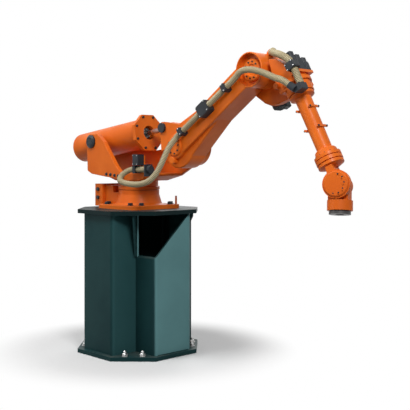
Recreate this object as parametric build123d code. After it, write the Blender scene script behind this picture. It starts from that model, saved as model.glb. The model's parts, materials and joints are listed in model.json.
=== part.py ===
"""Six axis shelf mounted robot arm with a spring balancer, on its welded floor pedestal.

Millimetres, +Z up. The origin is where axis 1 meets the floor. X points forward along the arm,
Y to the robot's left. Heights named "rise" count from the top of the pedestal.
"""

import os
from math import cos, radians, sin, tan

from build123d import *

# Pedestal
PEDESTAL_HEIGHT = 1300
PLATE_THICKNESS = 36
PLATE_MARGIN = 40
PLATE_CORNER_CUT = 278
WING_REACH = 480
WING_WIDTH = 434
WING_WALL = 18
WING_BEND_RADIUS = 34
GUSSET_REACH = 190
GUSSET_HEIGHT = 375
GUSSET_THICKNESS = 16
ANCHOR_EDGE = 120
ANCHOR_ROOM = 73
ANCHOR_HOLE_R = 16
ACCESS_HEIGHT = 385
ACCESS_WIDTH = 412

# Fits shared by the moving pieces
RUNNING_GAP = 0.3
FACE_GAP = 5

# Robot base
BASE_HALF = 282
BASE_FLANGE = 38
BASE_TOP = 170
BASE_CONE_R = 216
NECK_R = 182
SPIGOT_R = 120
BASE_BOLT_R = 11
BOX_BACK = -428
BOX_FRONT = -314
BOX_HALF_WIDTH = 190
BOX_TOP = 222
SOCKET_STEP = 110
SOCKET_RISE = 125
SIDE_SOCKET_RISE = 95
SIDE_SOCKET_STEP = 77

# Turret
DECK_LOW = 258
DECK_TOP = 330
DECK_RIGHT = -205
DECK_LEFT = 145
BRACKET_THICKNESS = 45
TAIL_X = -600
POST_THICKNESS = 10
SHOULDER_X = 650
SHOULDER_RISE = 563
SHOULDER_R = 165
CHEEK_RIGHT = 85
CHEEK_LEFT = 150
SHOULDER_SPIGOT_R = 110
WALL_RISE = 530
WALL_THICKNESS = 11
SWIVEL_MOTOR_X = 210
SHOULDER_MOTOR_X = 410
SHOULDER_MOTOR_RISE = 470

# Balancer
BALANCER_Y = -30
TRUNNION_X = -403
TRUNNION_RISE = 620
EYE_X = 446
EYE_RISE = 730
BARREL_R = 138
BARREL_WALL = 14
BARREL_BACK = -440
BARREL_FRONT = 555
DISC_FLAT_HALF = 164
DISC_THICKNESS = 34
DISC_HOLE_R = 64
ROD_R = 21
EYE_PIN_R = 26
EYE_R = 50
EYE_HALF_WIDTH = 27
EAR_THICKNESS = 36

# Lower arm
ARM_LENGTH = 1050
ARM_ANGLE = 34.5
ARM_RIGHT = -134
ARM_LEFT = 80
ARM_HALF = 97
ARM_HUB_R = 188
ARM_TIP_R = 142
TIP_LEFT = -10
BOWL_R = 131
BOWL_DEPTH = 56
ARM_SKIN = 20
ELBOW_SPIGOT_R = 80
ELBOW_DRIVE_R = 122

# Forearm
FOREARM_ANGLE = -62
FOREARM_OFFSET = 276
ELBOW_LEFT = 150
ELBOW_NEAR = -100
ELBOW_FACE = 330
ELBOW_SKIN = 20
HEAD_R = 100
MOTOR_PLATE = 235
MOTOR_ROW_UP = 88
MOTOR_ROW_STEP = 62
MOTOR_ROW_MIDDLE = -4
TUBE_START = 392
TUBE_R_BACK = 64
TUBE_R_FRONT = 60
TUBE_FLANGE_R = 98
TUBE_SPIGOT_R = 60

# Wrist
WRIST_REACH = 1164
WRIST_NECK = 292
WRIST_ROLL = 20
WRIST_BEND = -24
WRIST_RING_R = 104
YOKE_R = 106
NECK_HALF = 26
YOKE_INNER = 56
YOKE_OUTER = 92
FAR_YOKE_R = 76
FAR_YOKE_INNER = 44
FAR_YOKE_OUTER = 70
WRIST_BODY_R = 82
HAND_R = 94
WRIST_PIN_R = 40
TOOL_SPIGOT_R = 40
TOOL_FLANGE_R = 80
TOOL_FACE = 214
TOOL_FLANGE_THICKNESS = 23
TOOL_BOLT_CIRCLE = 125
TOOL_BOLT_R = 5

# Motors
MOTOR_SIDE = 104
WRIST_MOTOR_SIDE = 60
ELBOW_MOTOR_SIDE = 80

# Hoses
HOSE_R = 26
TOP_HOSE_R = 29
TOP_HOSE_Y = -134
TOP_HOSE_BOSS = 9
HOSE_Y = -173
CLAMP_LENGTH = 46
CLAMP_WIDTH = 66

TOP = PEDESTAL_HEIGHT
os.makedirs("parts", exist_ok=True)


def save(node, shape):
    """Write one node."""
    export_step(shape, f"parts/{node}.step")
    print(node, round(shape.volume / 1e6, 3), "litres")


def side_plane(x, rise, angle, y):
    """Plane facing -Y through (x, y, rise), with its own X turned up by the angle."""
    return Plane(
        origin=(x, y, TOP + rise),
        x_dir=(cos(radians(angle)), 0, sin(radians(angle))),
        z_dir=(0, -1, 0),
    )


def slab(frame, points, y_from, y_to, rounding=0):
    """Outline in a side frame, extruded between two values of Y."""
    outline = Polygon(*points, align=None)
    if rounding:
        outline = fillet(outline.vertices(), rounding)
    return extrude(side_plane(*frame, y_to) * outline, amount=y_to - y_from, dir=(0, -1, 0))


def soften(shape, radius):
    """Round the edges that run round the two faces of a slab or disc."""
    return fillet(shape.edges().filter_by(Axis.Y, reverse=True), radius)


def disc(frame, centre, radius, y_from, y_to):
    """Cylinder along Y, centred in a side frame."""
    return extrude(side_plane(*frame, y_to) * Pos(*centre) * Circle(radius), amount=y_to - y_from)


def block(x_from, x_to, y_from, y_to, rise_from, rise_to):
    """Box between two corners, with heights counted from the pedestal's top."""
    size = Box(x_to - x_from, y_to - y_from, rise_to - rise_from, align=(Align.MIN,) * 3)
    return Pos(x_from, y_from, TOP + rise_from) * size


def turned(origin, axis, outline):
    """Solid of revolution: the outline is a list of (along the axis, radius)."""
    direction = Vector(*axis).normalized()
    helper = Vector(1, 0, 0) if abs(direction.Z) > 0.9 else Vector(0, 0, 1)
    plane = Plane(origin=origin, x_dir=direction, z_dir=direction.cross(helper))
    return revolve(plane * Polygon(*outline, align=None), axis=Axis(origin, direction))


def pin(origin, axis, start, end, radius):
    """Cylinder along an axis, between two distances from its origin."""
    return turned(origin, axis, [(start, 0), (start, radius), (end, radius), (end, 0)])


def tube(origin, axis, start, end, outer, inner):
    """Ring along an axis, between two distances from its origin."""
    return turned(origin, axis, [(start, inner), (start, outer), (end, outer), (end, inner)])


def hose(name, points, radius):
    """Round hose along straight runs that are joined by the largest tangent arcs."""
    stops = [Vector(*p) for p in points]
    radii = []
    for before, here, after in zip(stops, stops[1:], stops[2:]):
        turn = (here - before).get_angle(after - here)
        shorter = min((here - before).length, (after - here).length)
        radii.append(0.45 * shorter / tan(radians(turn / 2)))
    path = FilletPolyline(*stops, radius=radii)
    print(name, "radii", [round(r) for r in radii], "length", round(path.length))
    section = Plane(origin=path @ 0, z_dir=path % 0) * Circle(radius)
    return sweep(section, path=path)


# Pedestal

plate_half = WING_REACH + PLATE_MARGIN
anchor_long = plate_half - ANCHOR_EDGE
anchor_short = WING_WIDTH / 2 + ANCHOR_ROOM


def floor_outline():
    """Square with its corners cut off."""
    return chamfer(Rectangle(2 * plate_half, 2 * plate_half).vertices(), PLATE_CORNER_CUT)


anchor_spots = [
    (sx * x, sy * y)
    for x, y in ((anchor_long, anchor_short), (anchor_short, anchor_long))
    for sx in (-1, 1)
    for sy in (-1, 1)
]
floor_plate = extrude(floor_outline(), amount=PLATE_THICKNESS)
for spot in anchor_spots:
    floor_plate -= Pos(*spot, PLATE_THICKNESS / 2) * Cylinder(ANCHOR_HOLE_R, PLATE_THICKNESS * 2)
save("pedestal_floor_plate", floor_plate)

base_bolt_spots = [
    (sx * x, sy * y)
    for x, y in ((BASE_HALF - 42, BASE_HALF - 112), (BASE_HALF - 112, BASE_HALF - 42))
    for sx in (-1, 1)
    for sy in (-1, 1)
]
top_plate = Pos(0, 0, TOP - PLATE_THICKNESS) * extrude(floor_outline(), amount=PLATE_THICKNESS)
for spot in base_bolt_spots:
    top_plate -= Pos(*spot, TOP) * Cylinder(BASE_BOLT_R - 1, PLATE_THICKNESS * 3)
save("pedestal_top_plate", top_plate)

COLUMN_LOW = PLATE_THICKNESS
COLUMN_HIGH = TOP - PLATE_THICKNESS


def wing(leg_start):
    """Bent channel that points along +X, open towards the middle of the column."""
    depth = WING_REACH - leg_start
    outer = Pos(leg_start + depth / 2, 0) * Rectangle(depth, WING_WIDTH)
    outer = fillet(outer.vertices().sort_by(Axis.X)[-2:], WING_BEND_RADIUS)
    inner_depth = depth - WING_WALL
    inner = Pos(leg_start + inner_depth / 2, 0) * Rectangle(inner_depth, WING_WIDTH - 2 * WING_WALL)
    inner = fillet(inner.vertices().sort_by(Axis.X)[-2:], WING_BEND_RADIUS - WING_WALL)
    return Pos(0, 0, COLUMN_LOW) * extrude(outer - inner, amount=COLUMN_HIGH - COLUMN_LOW)


long_leg = WING_WIDTH / 2 - WING_WALL
short_leg = WING_WIDTH / 2
access = extrude(
    Plane(origin=(WING_WIDTH / 2 + 20, 0, COLUMN_HIGH), x_dir=(0, 1, 0), z_dir=(1, 0, 0))
    * Polygon(
        (-WING_WIDTH, 0),
        (ACCESS_WIDTH - WING_WIDTH / 2, 0),
        (-WING_WIDTH / 2, -ACCESS_HEIGHT),
        (-WING_WIDTH, -ACCESS_HEIGHT),
        align=None,
    ),
    amount=WING_REACH,
    dir=(1, 0, 0),
)
save("pedestal_wing_front", wing(long_leg) - access)
save("pedestal_wing_rear", Rot(0, 0, 180) * wing(long_leg))
save("pedestal_wing_left", Rot(0, 0, 90) * wing(short_leg))
save("pedestal_wing_right", Rot(0, 0, -90) * wing(short_leg))

gusset_start = WING_WIDTH / 2 * 2 ** 0.5 + GUSSET_THICKNESS / 2
gusset_plane = Plane(origin=(0, GUSSET_THICKNESS / 2, COLUMN_HIGH), x_dir=(1, 0, 0), z_dir=(0, -1, 0))
gusset_face = gusset_plane * Polygon(
    (gusset_start, 0),
    (gusset_start + GUSSET_REACH, 0),
    (gusset_start + GUSSET_REACH, -40),
    (gusset_start + 30, -GUSSET_HEIGHT),
    (gusset_start, -GUSSET_HEIGHT),
    align=None,
)
gusset = extrude(gusset_face, amount=GUSSET_THICKNESS, dir=(0, -1, 0))
save("pedestal_gussets", Compound(children=[Rot(0, 0, 45 + 90 * i) * gusset for i in range(4)]))

# Robot base

base_axis = ((0, 0, TOP), (0, 0, 1))
flange = fillet(Rectangle(2 * BASE_HALF, 2 * BASE_HALF).vertices(), 60)
base = Pos(0, 0, TOP) * extrude(flange, amount=BASE_FLANGE)
base = fillet(base.faces().sort_by(Axis.Z)[-1].edges(), 8)
base += turned(
    *base_axis,
    [
        (0, 0),
        (0, BASE_CONE_R),
        (BASE_FLANGE, BASE_CONE_R),
        (BASE_TOP - 40, NECK_R + 6),
        (BASE_TOP, NECK_R + 6),
        (BASE_TOP, 0),
    ],
)
base_root = base.edges().filter_by(GeomType.CIRCLE).filter_by(lambda e: abs(e.radius - BASE_CONE_R) < 1)
base = fillet(base_root.sort_by(Axis.Z)[-1:], 26)
base += block(BOX_FRONT, -NECK_R - 14, -150, 150, 0, BOX_TOP - 14)
base += block(-NECK_R - 20, -90, -150, 150, 0, BASE_TOP - 25)
base -= pin(*base_axis, BASE_TOP - 70, BASE_TOP + 5, SPIGOT_R + RUNNING_GAP)
base -= pin(*base_axis, -1, BASE_TOP - 100, NECK_R - 22)
base -= block(BOX_FRONT + 18, -NECK_R - 34, -132, 132, -1, BOX_TOP - 32)
for spot in base_bolt_spots:
    base -= Pos(*spot, TOP) * Cylinder(BASE_BOLT_R, BASE_FLANGE * 3)
save("base_casting", base)

connector_box = block(BOX_BACK, BOX_FRONT, -BOX_HALF_WIDTH, BOX_HALF_WIDTH, 14, BOX_TOP)
connector_box = fillet(connector_box.edges().filter_by(Axis.Z), 10)
box_inside = BOX_HALF_WIDTH - 12
connector_box -= block(BOX_BACK + 12, BOX_FRONT - 12, -box_inside, box_inside, 26, BOX_TOP - 12)
save("connector_box", connector_box)

rear_sockets = ((-SOCKET_STEP, 34), (0, 34), (SOCKET_STEP, 26))
sockets = [pin((BOX_BACK, y, TOP + SOCKET_RISE), (-1, 0, 0), 0, 34, r) for y, r in rear_sockets]
side_x = (BOX_BACK + BOX_FRONT) / 2
for rise in (SIDE_SOCKET_RISE, SIDE_SOCKET_RISE + SIDE_SOCKET_STEP):
    sockets.append(pin((side_x, -BOX_HALF_WIDTH, TOP + rise), (0, -1, 0), 0, 16, 17))
save("connector_sockets", Compound(children=sockets))

lug_outline = [(-34, 0), (34, 0), (34, 34), (16, 76), (-16, 76), (-34, 34)]
lug_place = BASE_HALF - 44
lug_plane = Plane(origin=(lug_place, lug_place, TOP + BASE_FLANGE), x_dir=(-1, 1, 0), z_dir=(1, 1, 0))
lug_face = Polygon(*lug_outline, align=None) - Pos(0, 48) * Circle(14)
lug = extrude(lug_plane * lug_face, amount=16, dir=(1, 1, 0))
save("base_lugs", Compound(children=[lug, mirror(lug, about=Plane.YZ)]))

# Turret

shoulder = (SHOULDER_X, SHOULDER_RISE, 0)
level = (0, 0, 0)
turret = turned(
    *base_axis,
    [
        (BASE_TOP - 60, 0),
        (BASE_TOP - 60, SPIGOT_R),
        (BASE_TOP + FACE_GAP, SPIGOT_R),
        (BASE_TOP + FACE_GAP, NECK_R + 10),
        (BASE_TOP + FACE_GAP + 26, NECK_R + 10),
        (BASE_TOP + FACE_GAP + 34, NECK_R - 4),
        (DECK_LOW, NECK_R - 4),
        (DECK_LOW, 0),
    ],
)
deck_outline = [
    (-250, DECK_TOP),
    (-250, DECK_LOW + 45),
    (-95, DECK_LOW),
    (235, DECK_LOW),
    (440, DECK_LOW + 48),
    (470, DECK_TOP),
]
turret += soften(slab(level, deck_outline, DECK_RIGHT, DECK_LEFT, 10), 8)
cheek_outline = [
    (35, DECK_TOP + 20),
    (35, DECK_LOW + 10),
    (235, DECK_LOW),
    (440, DECK_LOW + 48),
    (SHOULDER_X - 20, SHOULDER_RISE - SHOULDER_R + 6),
    (SHOULDER_X, SHOULDER_RISE),
    (SHOULDER_X - 100, SHOULDER_RISE + 126),
    (300, 470),
]
cheek = soften(slab(level, cheek_outline, CHEEK_RIGHT + 25, CHEEK_LEFT, 14), 8)
cheek += soften(disc(shoulder, (0, 0), SHOULDER_R, CHEEK_RIGHT, CHEEK_LEFT), 8)
turret += cheek
wall_outline = [
    (35, DECK_TOP - 20),
    (35, WALL_RISE),
    (320, WALL_RISE + 30),
    (SHOULDER_X - 90, SHOULDER_RISE + 124),
    (480, DECK_TOP + 70),
]
turret += slab(level, wall_outline, CHEEK_LEFT - WALL_THICKNESS, CHEEK_LEFT)
shelf_left = DECK_LEFT + MOTOR_SIDE + 16
turret += block(SWIVEL_MOTOR_X - 60, SWIVEL_MOTOR_X + 60, DECK_LEFT - 20, shelf_left, DECK_TOP - 30, DECK_TOP)
turret -= disc(shoulder, (0, 0), SHOULDER_SPIGOT_R + RUNNING_GAP, CHEEK_RIGHT - 1, CHEEK_LEFT - 22)
turret -= pin(*base_axis, BASE_TOP + 20, DECK_LOW + 40, NECK_R - 34)
save("turret_casting", turret)

bracket_outline = [
    (TRUNNION_X - 62, 345),
    (TRUNNION_X - 70, TRUNNION_RISE + 30),
    (TRUNNION_X - 34, TRUNNION_RISE + 72),
    (TRUNNION_X + 90, TRUNNION_RISE + 70),
    (TRUNNION_X + 190, TRUNNION_RISE - 6),
    (-100, 476),
    (-30, DECK_TOP + 60),
    (30, DECK_TOP + 8),
    (30, DECK_LOW + 14),
    (-190, DECK_LOW + 34),
    (-400, DECK_LOW + 58),
]
right_face = DECK_RIGHT - BRACKET_THICKNESS
left_face = DECK_LEFT + BRACKET_THICKNESS
bracket_right = soften(slab(level, bracket_outline, right_face, DECK_RIGHT, 14), 5)
save("balancer_bracket_right", bracket_right)
left_tail = [(TAIL_X + 15, 372), (TAIL_X, 505), (TRUNNION_X - 70, TRUNNION_RISE - 60)]
left_front = [(-100, WALL_RISE + 40), (30, WALL_RISE)]
left_outline = left_tail + bracket_outline[1:5] + left_front + bracket_outline[8:]
bracket_left = soften(slab(level, left_outline, DECK_LEFT, left_face, 14), 5)
save("balancer_bracket_left", bracket_left)

cap_outline = [(0, 0), (0, 62), (14, 62), (26, 46), (26, 0)]
cap_right = turned((TRUNNION_X, right_face, TOP + TRUNNION_RISE), (0, -1, 0), cap_outline)
cap_left = turned((TRUNNION_X, left_face, TOP + TRUNNION_RISE), (0, 1, 0), cap_outline)
save("trunnion_caps", Compound(children=[cap_right, cap_left]))

post_face = DECK_RIGHT - POST_THICKNESS
junction_post = block(286, 332, post_face, DECK_RIGHT, 278, 486)
save("junction_post", junction_post)
junction_box = block(258, 334, post_face - 76, post_face, 398, 496)
junction_box = fillet(junction_box.edges().filter_by(Axis.Z), 8)
save("junction_box", junction_box)


def motor(origin, axis, x_dir, length, side):
    """Servo motor: square body and a smaller rear cover with its plug box."""
    plane = Plane(origin=origin, x_dir=x_dir, z_dir=axis)
    corner = side * 0.13
    body_length = length * 0.66
    body = extrude(plane * chamfer(Rectangle(side, side).vertices(), corner), amount=body_length)
    rear_outline = chamfer(Rectangle(side - corner, side - corner).vertices(), corner * 1.1)
    rear = extrude(plane.offset(body_length) * rear_outline, amount=length - body_length)
    plug_outline = Pos(0, side / 2) * Rectangle(side * 0.42, side * 0.36)
    plug = extrude(plane.offset(length * 0.7) * plug_outline, amount=side * 0.38)
    return body + rear + plug


shoulder_drive = turned(
    (SHOULDER_X, CHEEK_LEFT, TOP + SHOULDER_RISE),
    (0, 1, 0),
    [(0, 0), (0, SHOULDER_SPIGOT_R), (20, SHOULDER_SPIGOT_R), (30, SHOULDER_SPIGOT_R - 14), (30, 0)],
)
save("shoulder_drive", shoulder_drive)
shoulder_motor_foot = (SHOULDER_MOTOR_X, CHEEK_LEFT, TOP + SHOULDER_MOTOR_RISE)
save("shoulder_motor", motor(shoulder_motor_foot, (0, 1, 0), (1, 0, 0), 200, MOTOR_SIDE))
swivel_motor_foot = (SWIVEL_MOTOR_X, shelf_left - MOTOR_SIDE / 2 - 4, TOP + DECK_TOP)
save("swivel_motor", motor(swivel_motor_foot, (0, 0, 1), (1, 0, 0), 175, MOTOR_SIDE))

# Balancer

axis_run = Vector(EYE_X - TRUNNION_X, 0, EYE_RISE - TRUNNION_RISE)
balancer_axis = axis_run.normalized()
balancer_origin = (TRUNNION_X, BALANCER_Y, TOP + TRUNNION_RISE)
eye_distance = axis_run.length
barrel_inner = BARREL_R - BARREL_WALL
barrel = turned(
    balancer_origin,
    balancer_axis,
    [
        (BARREL_BACK + 40, 0),
        (BARREL_BACK + 40, barrel_inner),
        (BARREL_FRONT - 60, barrel_inner),
        (BARREL_FRONT - 60, ROD_R + RUNNING_GAP),
        (BARREL_FRONT - 34, ROD_R + RUNNING_GAP),
        (BARREL_FRONT - 34, barrel_inner),
        (BARREL_FRONT, barrel_inner),
        (BARREL_FRONT, BARREL_R),
        (BARREL_BACK + 26, BARREL_R),
        (BARREL_BACK, BARREL_R - 34),
        (BARREL_BACK, 0),
    ],
)
for direction, face in ((-1, DECK_RIGHT), (1, DECK_LEFT)):
    reach = abs(face - BALANCER_Y) - RUNNING_GAP
    barrel += tube(balancer_origin, (0, direction, 0), BARREL_R - 8, reach, 40, 22)
save("balancer_barrel", barrel)

disc_plane = Plane(
    origin=Vector(*balancer_origin) + balancer_axis * BARREL_FRONT,
    x_dir=(0, 1, 0),
    z_dir=balancer_axis,
)
disc_outline = RegularPolygon(DISC_FLAT_HALF, 8, major_radius=False, rotation=22.5) - Circle(DISC_HOLE_R)
front_disc = extrude(disc_plane * disc_outline, amount=DISC_THICKNESS)
save("balancer_front_disc", front_disc)

rod = pin(balancer_origin, balancer_axis, -80, eye_distance - EYE_R + 6, ROD_R)
eye_centre = (EYE_X, BALANCER_Y, TOP + EYE_RISE)
rod += pin((EYE_X, BALANCER_Y - EYE_HALF_WIDTH, TOP + EYE_RISE), (0, 1, 0), 0, 2 * EYE_HALF_WIDTH, EYE_R)
rod -= pin((EYE_X, BALANCER_Y, TOP + EYE_RISE), (0, 1, 0), -60, 60, EYE_PIN_R + RUNNING_GAP)
save("balancer_rod", rod)

# Lower arm

arm = (SHOULDER_X, SHOULDER_RISE, ARM_ANGLE)
turn = radians(ARM_ANGLE)
eye_along = (EYE_X - SHOULDER_X) * cos(turn) + (EYE_RISE - SHOULDER_RISE) * sin(turn)
eye_up = -(EYE_X - SHOULDER_X) * sin(turn) + (EYE_RISE - SHOULDER_RISE) * cos(turn)
web_right = ARM_RIGHT + 36
teardrop = [
    (-40, ARM_HUB_R - 5),
    (150, ARM_HUB_R - 34),
    (520, ARM_HALF),
    (520, -ARM_HALF),
    (150, -ARM_HUB_R + 34),
    (-40, -ARM_HUB_R + 5),
]
lower_arm = soften(slab(arm, teardrop, web_right, ARM_LEFT), 14)
lower_arm += soften(disc(arm, (0, 0), ARM_HUB_R, web_right, ARM_LEFT), 14)
spine = [(0, ARM_HALF), (ARM_LENGTH, ARM_HALF), (ARM_LENGTH, -ARM_HALF), (0, -ARM_HALF)]
lower_arm += soften(slab(arm, spine, ARM_RIGHT, ARM_LEFT), 12)
lower_arm += soften(disc(arm, (0, 0), ARM_HALF + 10, ARM_RIGHT, ARM_LEFT - 20), 10)
lower_arm += soften(disc(arm, (-92, -82), 32, ARM_RIGHT - 16, web_right + 20), 6)
lower_arm += soften(disc(arm, (ARM_LENGTH, 0), ARM_TIP_R, ARM_RIGHT, ARM_LEFT), 6)
core = [(0, ARM_HUB_R - ARM_SKIN - 24), (150, ARM_HUB_R - ARM_SKIN - 34)]
core += [(520, ARM_HALF - ARM_SKIN), (ARM_LENGTH - 180, ARM_HALF - ARM_SKIN)]
core += [(x, -y) for x, y in reversed(core)]
lower_arm -= slab(arm, core, web_right + ARM_SKIN, ARM_LEFT - ARM_SKIN)
ear_outline = [
    (eye_along - 52, eye_up - 20),
    (eye_along + 44, eye_up + 34),
    (150, ARM_HUB_R - 60),
    (-60, 60),
    (-205, 92),
]
slot = EYE_HALF_WIDTH + FACE_GAP
ear_right = BALANCER_Y - slot - EAR_THICKNESS
ear_left = BALANCER_Y + slot + EAR_THICKNESS
for low, high in ((ear_right, BALANCER_Y - slot), (BALANCER_Y + slot, ear_left)):
    lower_arm += slab(arm, ear_outline, low, high)
    lower_arm += disc(arm, (eye_along, eye_up), EYE_R + 2, low, high)
lower_arm -= disc(arm, (eye_along, eye_up), EYE_PIN_R, ear_right - 1, ear_left + 1)
lower_arm += disc(arm, (0, 0), SHOULDER_SPIGOT_R, ARM_LEFT - 1, CHEEK_LEFT - 30)
tip = (ARM_LENGTH, 0)
bowl_floor = ARM_RIGHT + BOWL_DEPTH
lower_arm -= disc(arm, tip, BOWL_R, ARM_RIGHT - 1, bowl_floor)
lower_arm -= disc(arm, tip, ARM_TIP_R + FACE_GAP, TIP_LEFT, ARM_LEFT + 1)
lower_arm -= disc(arm, tip, ELBOW_SPIGOT_R + RUNNING_GAP, bowl_floor + 30, TIP_LEFT + 1)
save("lower_arm", lower_arm)

eye_pin = disc(arm, (eye_along, eye_up), EYE_PIN_R, ear_right, ear_left + 6)
eye_pin += disc(arm, (eye_along, eye_up), 42, ear_right - 22, ear_right)
save("balancer_eye_pin", eye_pin)

hub_cover = turned(
    (SHOULDER_X, ARM_RIGHT, TOP + SHOULDER_RISE),
    (0, -1, 0),
    [(0, 0), (0, 84), (12, 84), (18, 76), (18, 0)],
)
save("shoulder_cover", hub_cover)
tip_x = SHOULDER_X + ARM_LENGTH * cos(turn)
tip_rise = SHOULDER_RISE + ARM_LENGTH * sin(turn)
cover_outline = [(0, 24), (0, 92), (16, 92), (24, 84), (24, 50), (14, 44), (14, 24)]
save("elbow_cover", turned((tip_x, bowl_floor, TOP + tip_rise), (0, -1, 0), cover_outline))

# Forearm

elbow = (tip_x, tip_rise, FOREARM_ANGLE)
far_outline = [
    (-120, -80),
    (-40, -196),
    (70, -222),
    (214, -142),
    (266, -92),
    (292, -20),
    (308, 80),
    (ELBOW_FACE - 8, 170),
    (ELBOW_FACE - 8, FOREARM_OFFSET + 44),
    (180, FOREARM_OFFSET + 30),
    (10, 165),
    (-104, 96),
]
block_right = ARM_TIP_R + 22
near_outline = [
    (20, 185),
    (60, 250),
    (118, 292),
    (MOTOR_PLATE - 35, FOREARM_OFFSET + 54),
    (ELBOW_FACE, FOREARM_OFFSET + 54),
    (ELBOW_FACE, block_right),
    (150, block_right),
]
casting_right = ARM_LEFT + FACE_GAP
block_left = casting_right + 30
elbow_casting = soften(slab(elbow, far_outline, casting_right, ELBOW_LEFT, 12), 8)
elbow_casting += soften(slab(elbow, near_outline, ELBOW_NEAR, block_left, 10), 8)
elbow_casting += disc(elbow, (0, 0), ARM_TIP_R, TIP_LEFT + FACE_GAP, casting_right + 10)
elbow_casting += soften(disc(elbow, (256, 172), 25, ELBOW_NEAR - 24, ELBOW_NEAR + 6), 4)
far_core = offset(Polygon(*far_outline, align=None), -ELBOW_SKIN, kind=Kind.INTERSECTION)
core_depth = ELBOW_LEFT - casting_right - 2 * ELBOW_SKIN
core_plane = side_plane(*elbow, ELBOW_LEFT - ELBOW_SKIN)
elbow_casting -= extrude(core_plane * far_core, amount=core_depth, dir=(0, -1, 0))
near_core = [(80, 202), (248, 202), (248, 302), (208, 302)]
elbow_casting -= slab(elbow, near_core, ELBOW_NEAR + ELBOW_SKIN, casting_right)
elbow_casting += disc(elbow, (0, 0), ELBOW_SPIGOT_R, bowl_floor + 36, TIP_LEFT + FACE_GAP + 1)
u = Vector(cos(radians(FOREARM_ANGLE)), 0, sin(radians(FOREARM_ANGLE)))
w = Vector(-sin(radians(FOREARM_ANGLE)), 0, cos(radians(FOREARM_ANGLE)))
elbow_point = Vector(tip_x, 0, TOP + tip_rise)
roll_origin = elbow_point + w * FOREARM_OFFSET
head_face = TUBE_START - FACE_GAP
head_outline = [
    (MOTOR_PLATE + 20, 0),
    (MOTOR_PLATE + 20, HEAD_R),
    (282, HEAD_R),
    (282, HEAD_R + 18),
    (308, HEAD_R + 18),
    (308, HEAD_R + 2),
    (340, HEAD_R + 2),
    (340, HEAD_R + 6),
    (head_face, HEAD_R + 6),
    (head_face, 0),
]
elbow_casting += turned(roll_origin, u, head_outline)
plate_low = FOREARM_OFFSET - 14
plate_high = FOREARM_OFFSET + MOTOR_ROW_UP + WRIST_MOTOR_SIDE / 2 + 3
plate_side = MOTOR_ROW_STEP + WRIST_MOTOR_SIDE / 2 + 3
plate_points = [(MOTOR_PLATE, plate_low), (MOTOR_PLATE + 23, plate_low)]
plate_points += [(MOTOR_PLATE + 23, plate_high), (MOTOR_PLATE, plate_high)]
plate_right = MOTOR_ROW_MIDDLE - plate_side
elbow_casting += slab(elbow, plate_points, plate_right, MOTOR_ROW_MIDDLE + plate_side)
bracket_low = FOREARM_OFFSET + 69
ear_points = [(370, FOREARM_OFFSET), (head_face - 2, FOREARM_OFFSET)]
ear_points += [(x, bracket_low) for x, y in reversed(ear_points)]
elbow_casting += slab(elbow, ear_points, -118, -88)
top_hose_way = Vector(0, -20, 0) + u * 6 + w * 36
top_hose_root = elbow_point - u * 84 + w * 136 + Vector(0, 43, 0)
elbow_casting += pin(top_hose_root, top_hose_way, -16, TOP_HOSE_BOSS, TOP_HOSE_R + 4)
top_hose_start = top_hose_root + top_hose_way.normalized() * TOP_HOSE_BOSS
elbow_casting -= pin(roll_origin, u, TUBE_START - 120, TUBE_START, TUBE_SPIGOT_R + RUNNING_GAP)
save("elbow_casting", elbow_casting)

drive_face = Vector(0, ELBOW_LEFT, 0)
elbow_drive = turned(
    elbow_point + drive_face,
    (0, 1, 0),
    [(0, 0), (0, ELBOW_DRIVE_R), (24, ELBOW_DRIVE_R), (36, 84), (44, 84), (44, 0)],
)
save("elbow_drive", elbow_drive)
motor_point = elbow_point + u * 240 - w * 92 + drive_face
save("elbow_motor", motor(motor_point, (0, 1, 0), u, 150, ELBOW_MOTOR_SIDE))

motor_row = (("roll_motor", -1, 160), ("bend_motor", 0, 138), ("twist_motor", 1, 116))
for name, place, length in motor_row:
    spot = roll_origin + u * MOTOR_PLATE + w * MOTOR_ROW_UP
    spot += Vector(0, MOTOR_ROW_MIDDLE + place * MOTOR_ROW_STEP, 0)
    save(name, motor(spot, -u, (0, 1, 0), length, WRIST_MOTOR_SIDE))


def forearm_point(along, up, y):
    """Point in the forearm's own frame, at rest."""
    return elbow_point + u * along + w * up + Vector(0, y, 0)


hose_bracket = slab(elbow, [(372, bracket_low), (428, bracket_low), (428, 422), (372, 422)], -172, -94, 6)
elbow_hose_end = forearm_point(346, 330, -175)
elbow_hose_way = (u * 46 + w * 24 + Vector(0, 8, 0)).normalized()
hose_bracket += pin(elbow_hose_end, elbow_hose_way, 0, 62, HOSE_R + 3)
save("hose_bracket", hose_bracket)

# Rolling forearm tube and wrist

tube_end = WRIST_REACH - WRIST_NECK

forearm_tube = turned(
    roll_origin,
    u,
    [
        (TUBE_START - 110, 44),
        (TUBE_START - 110, TUBE_SPIGOT_R),
        (TUBE_START, TUBE_SPIGOT_R),
        (TUBE_START, TUBE_FLANGE_R),
        (TUBE_START + 20, TUBE_FLANGE_R),
        (TUBE_START + 34, TUBE_R_BACK),
        (tube_end, TUBE_R_FRONT),
        (tube_end, 44),
    ],
)
save("forearm_tube", forearm_tube)
ring_start = tube_end + 43
yoke_start = tube_end + 73
ring_outline = [
    (tube_end, 44),
    (tube_end, WRIST_RING_R - 26),
    (tube_end + 8, WRIST_RING_R - 20),
    (ring_start, WRIST_RING_R - 12),
    (ring_start, WRIST_RING_R),
    (yoke_start - 7, WRIST_RING_R),
    (yoke_start - 7, WRIST_RING_R - 11),
    (yoke_start, WRIST_RING_R - 11),
    (yoke_start, 44),
]
save("tube_front_ring", turned(roll_origin, u, ring_outline))

wrist_centre = roll_origin + u * WRIST_REACH
bend_axis = Vector(0, -1, 0) * cos(radians(WRIST_ROLL)) + w * sin(radians(WRIST_ROLL))
wrist_plane = Plane(origin=wrist_centre, x_dir=u, z_dir=bend_axis)


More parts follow.
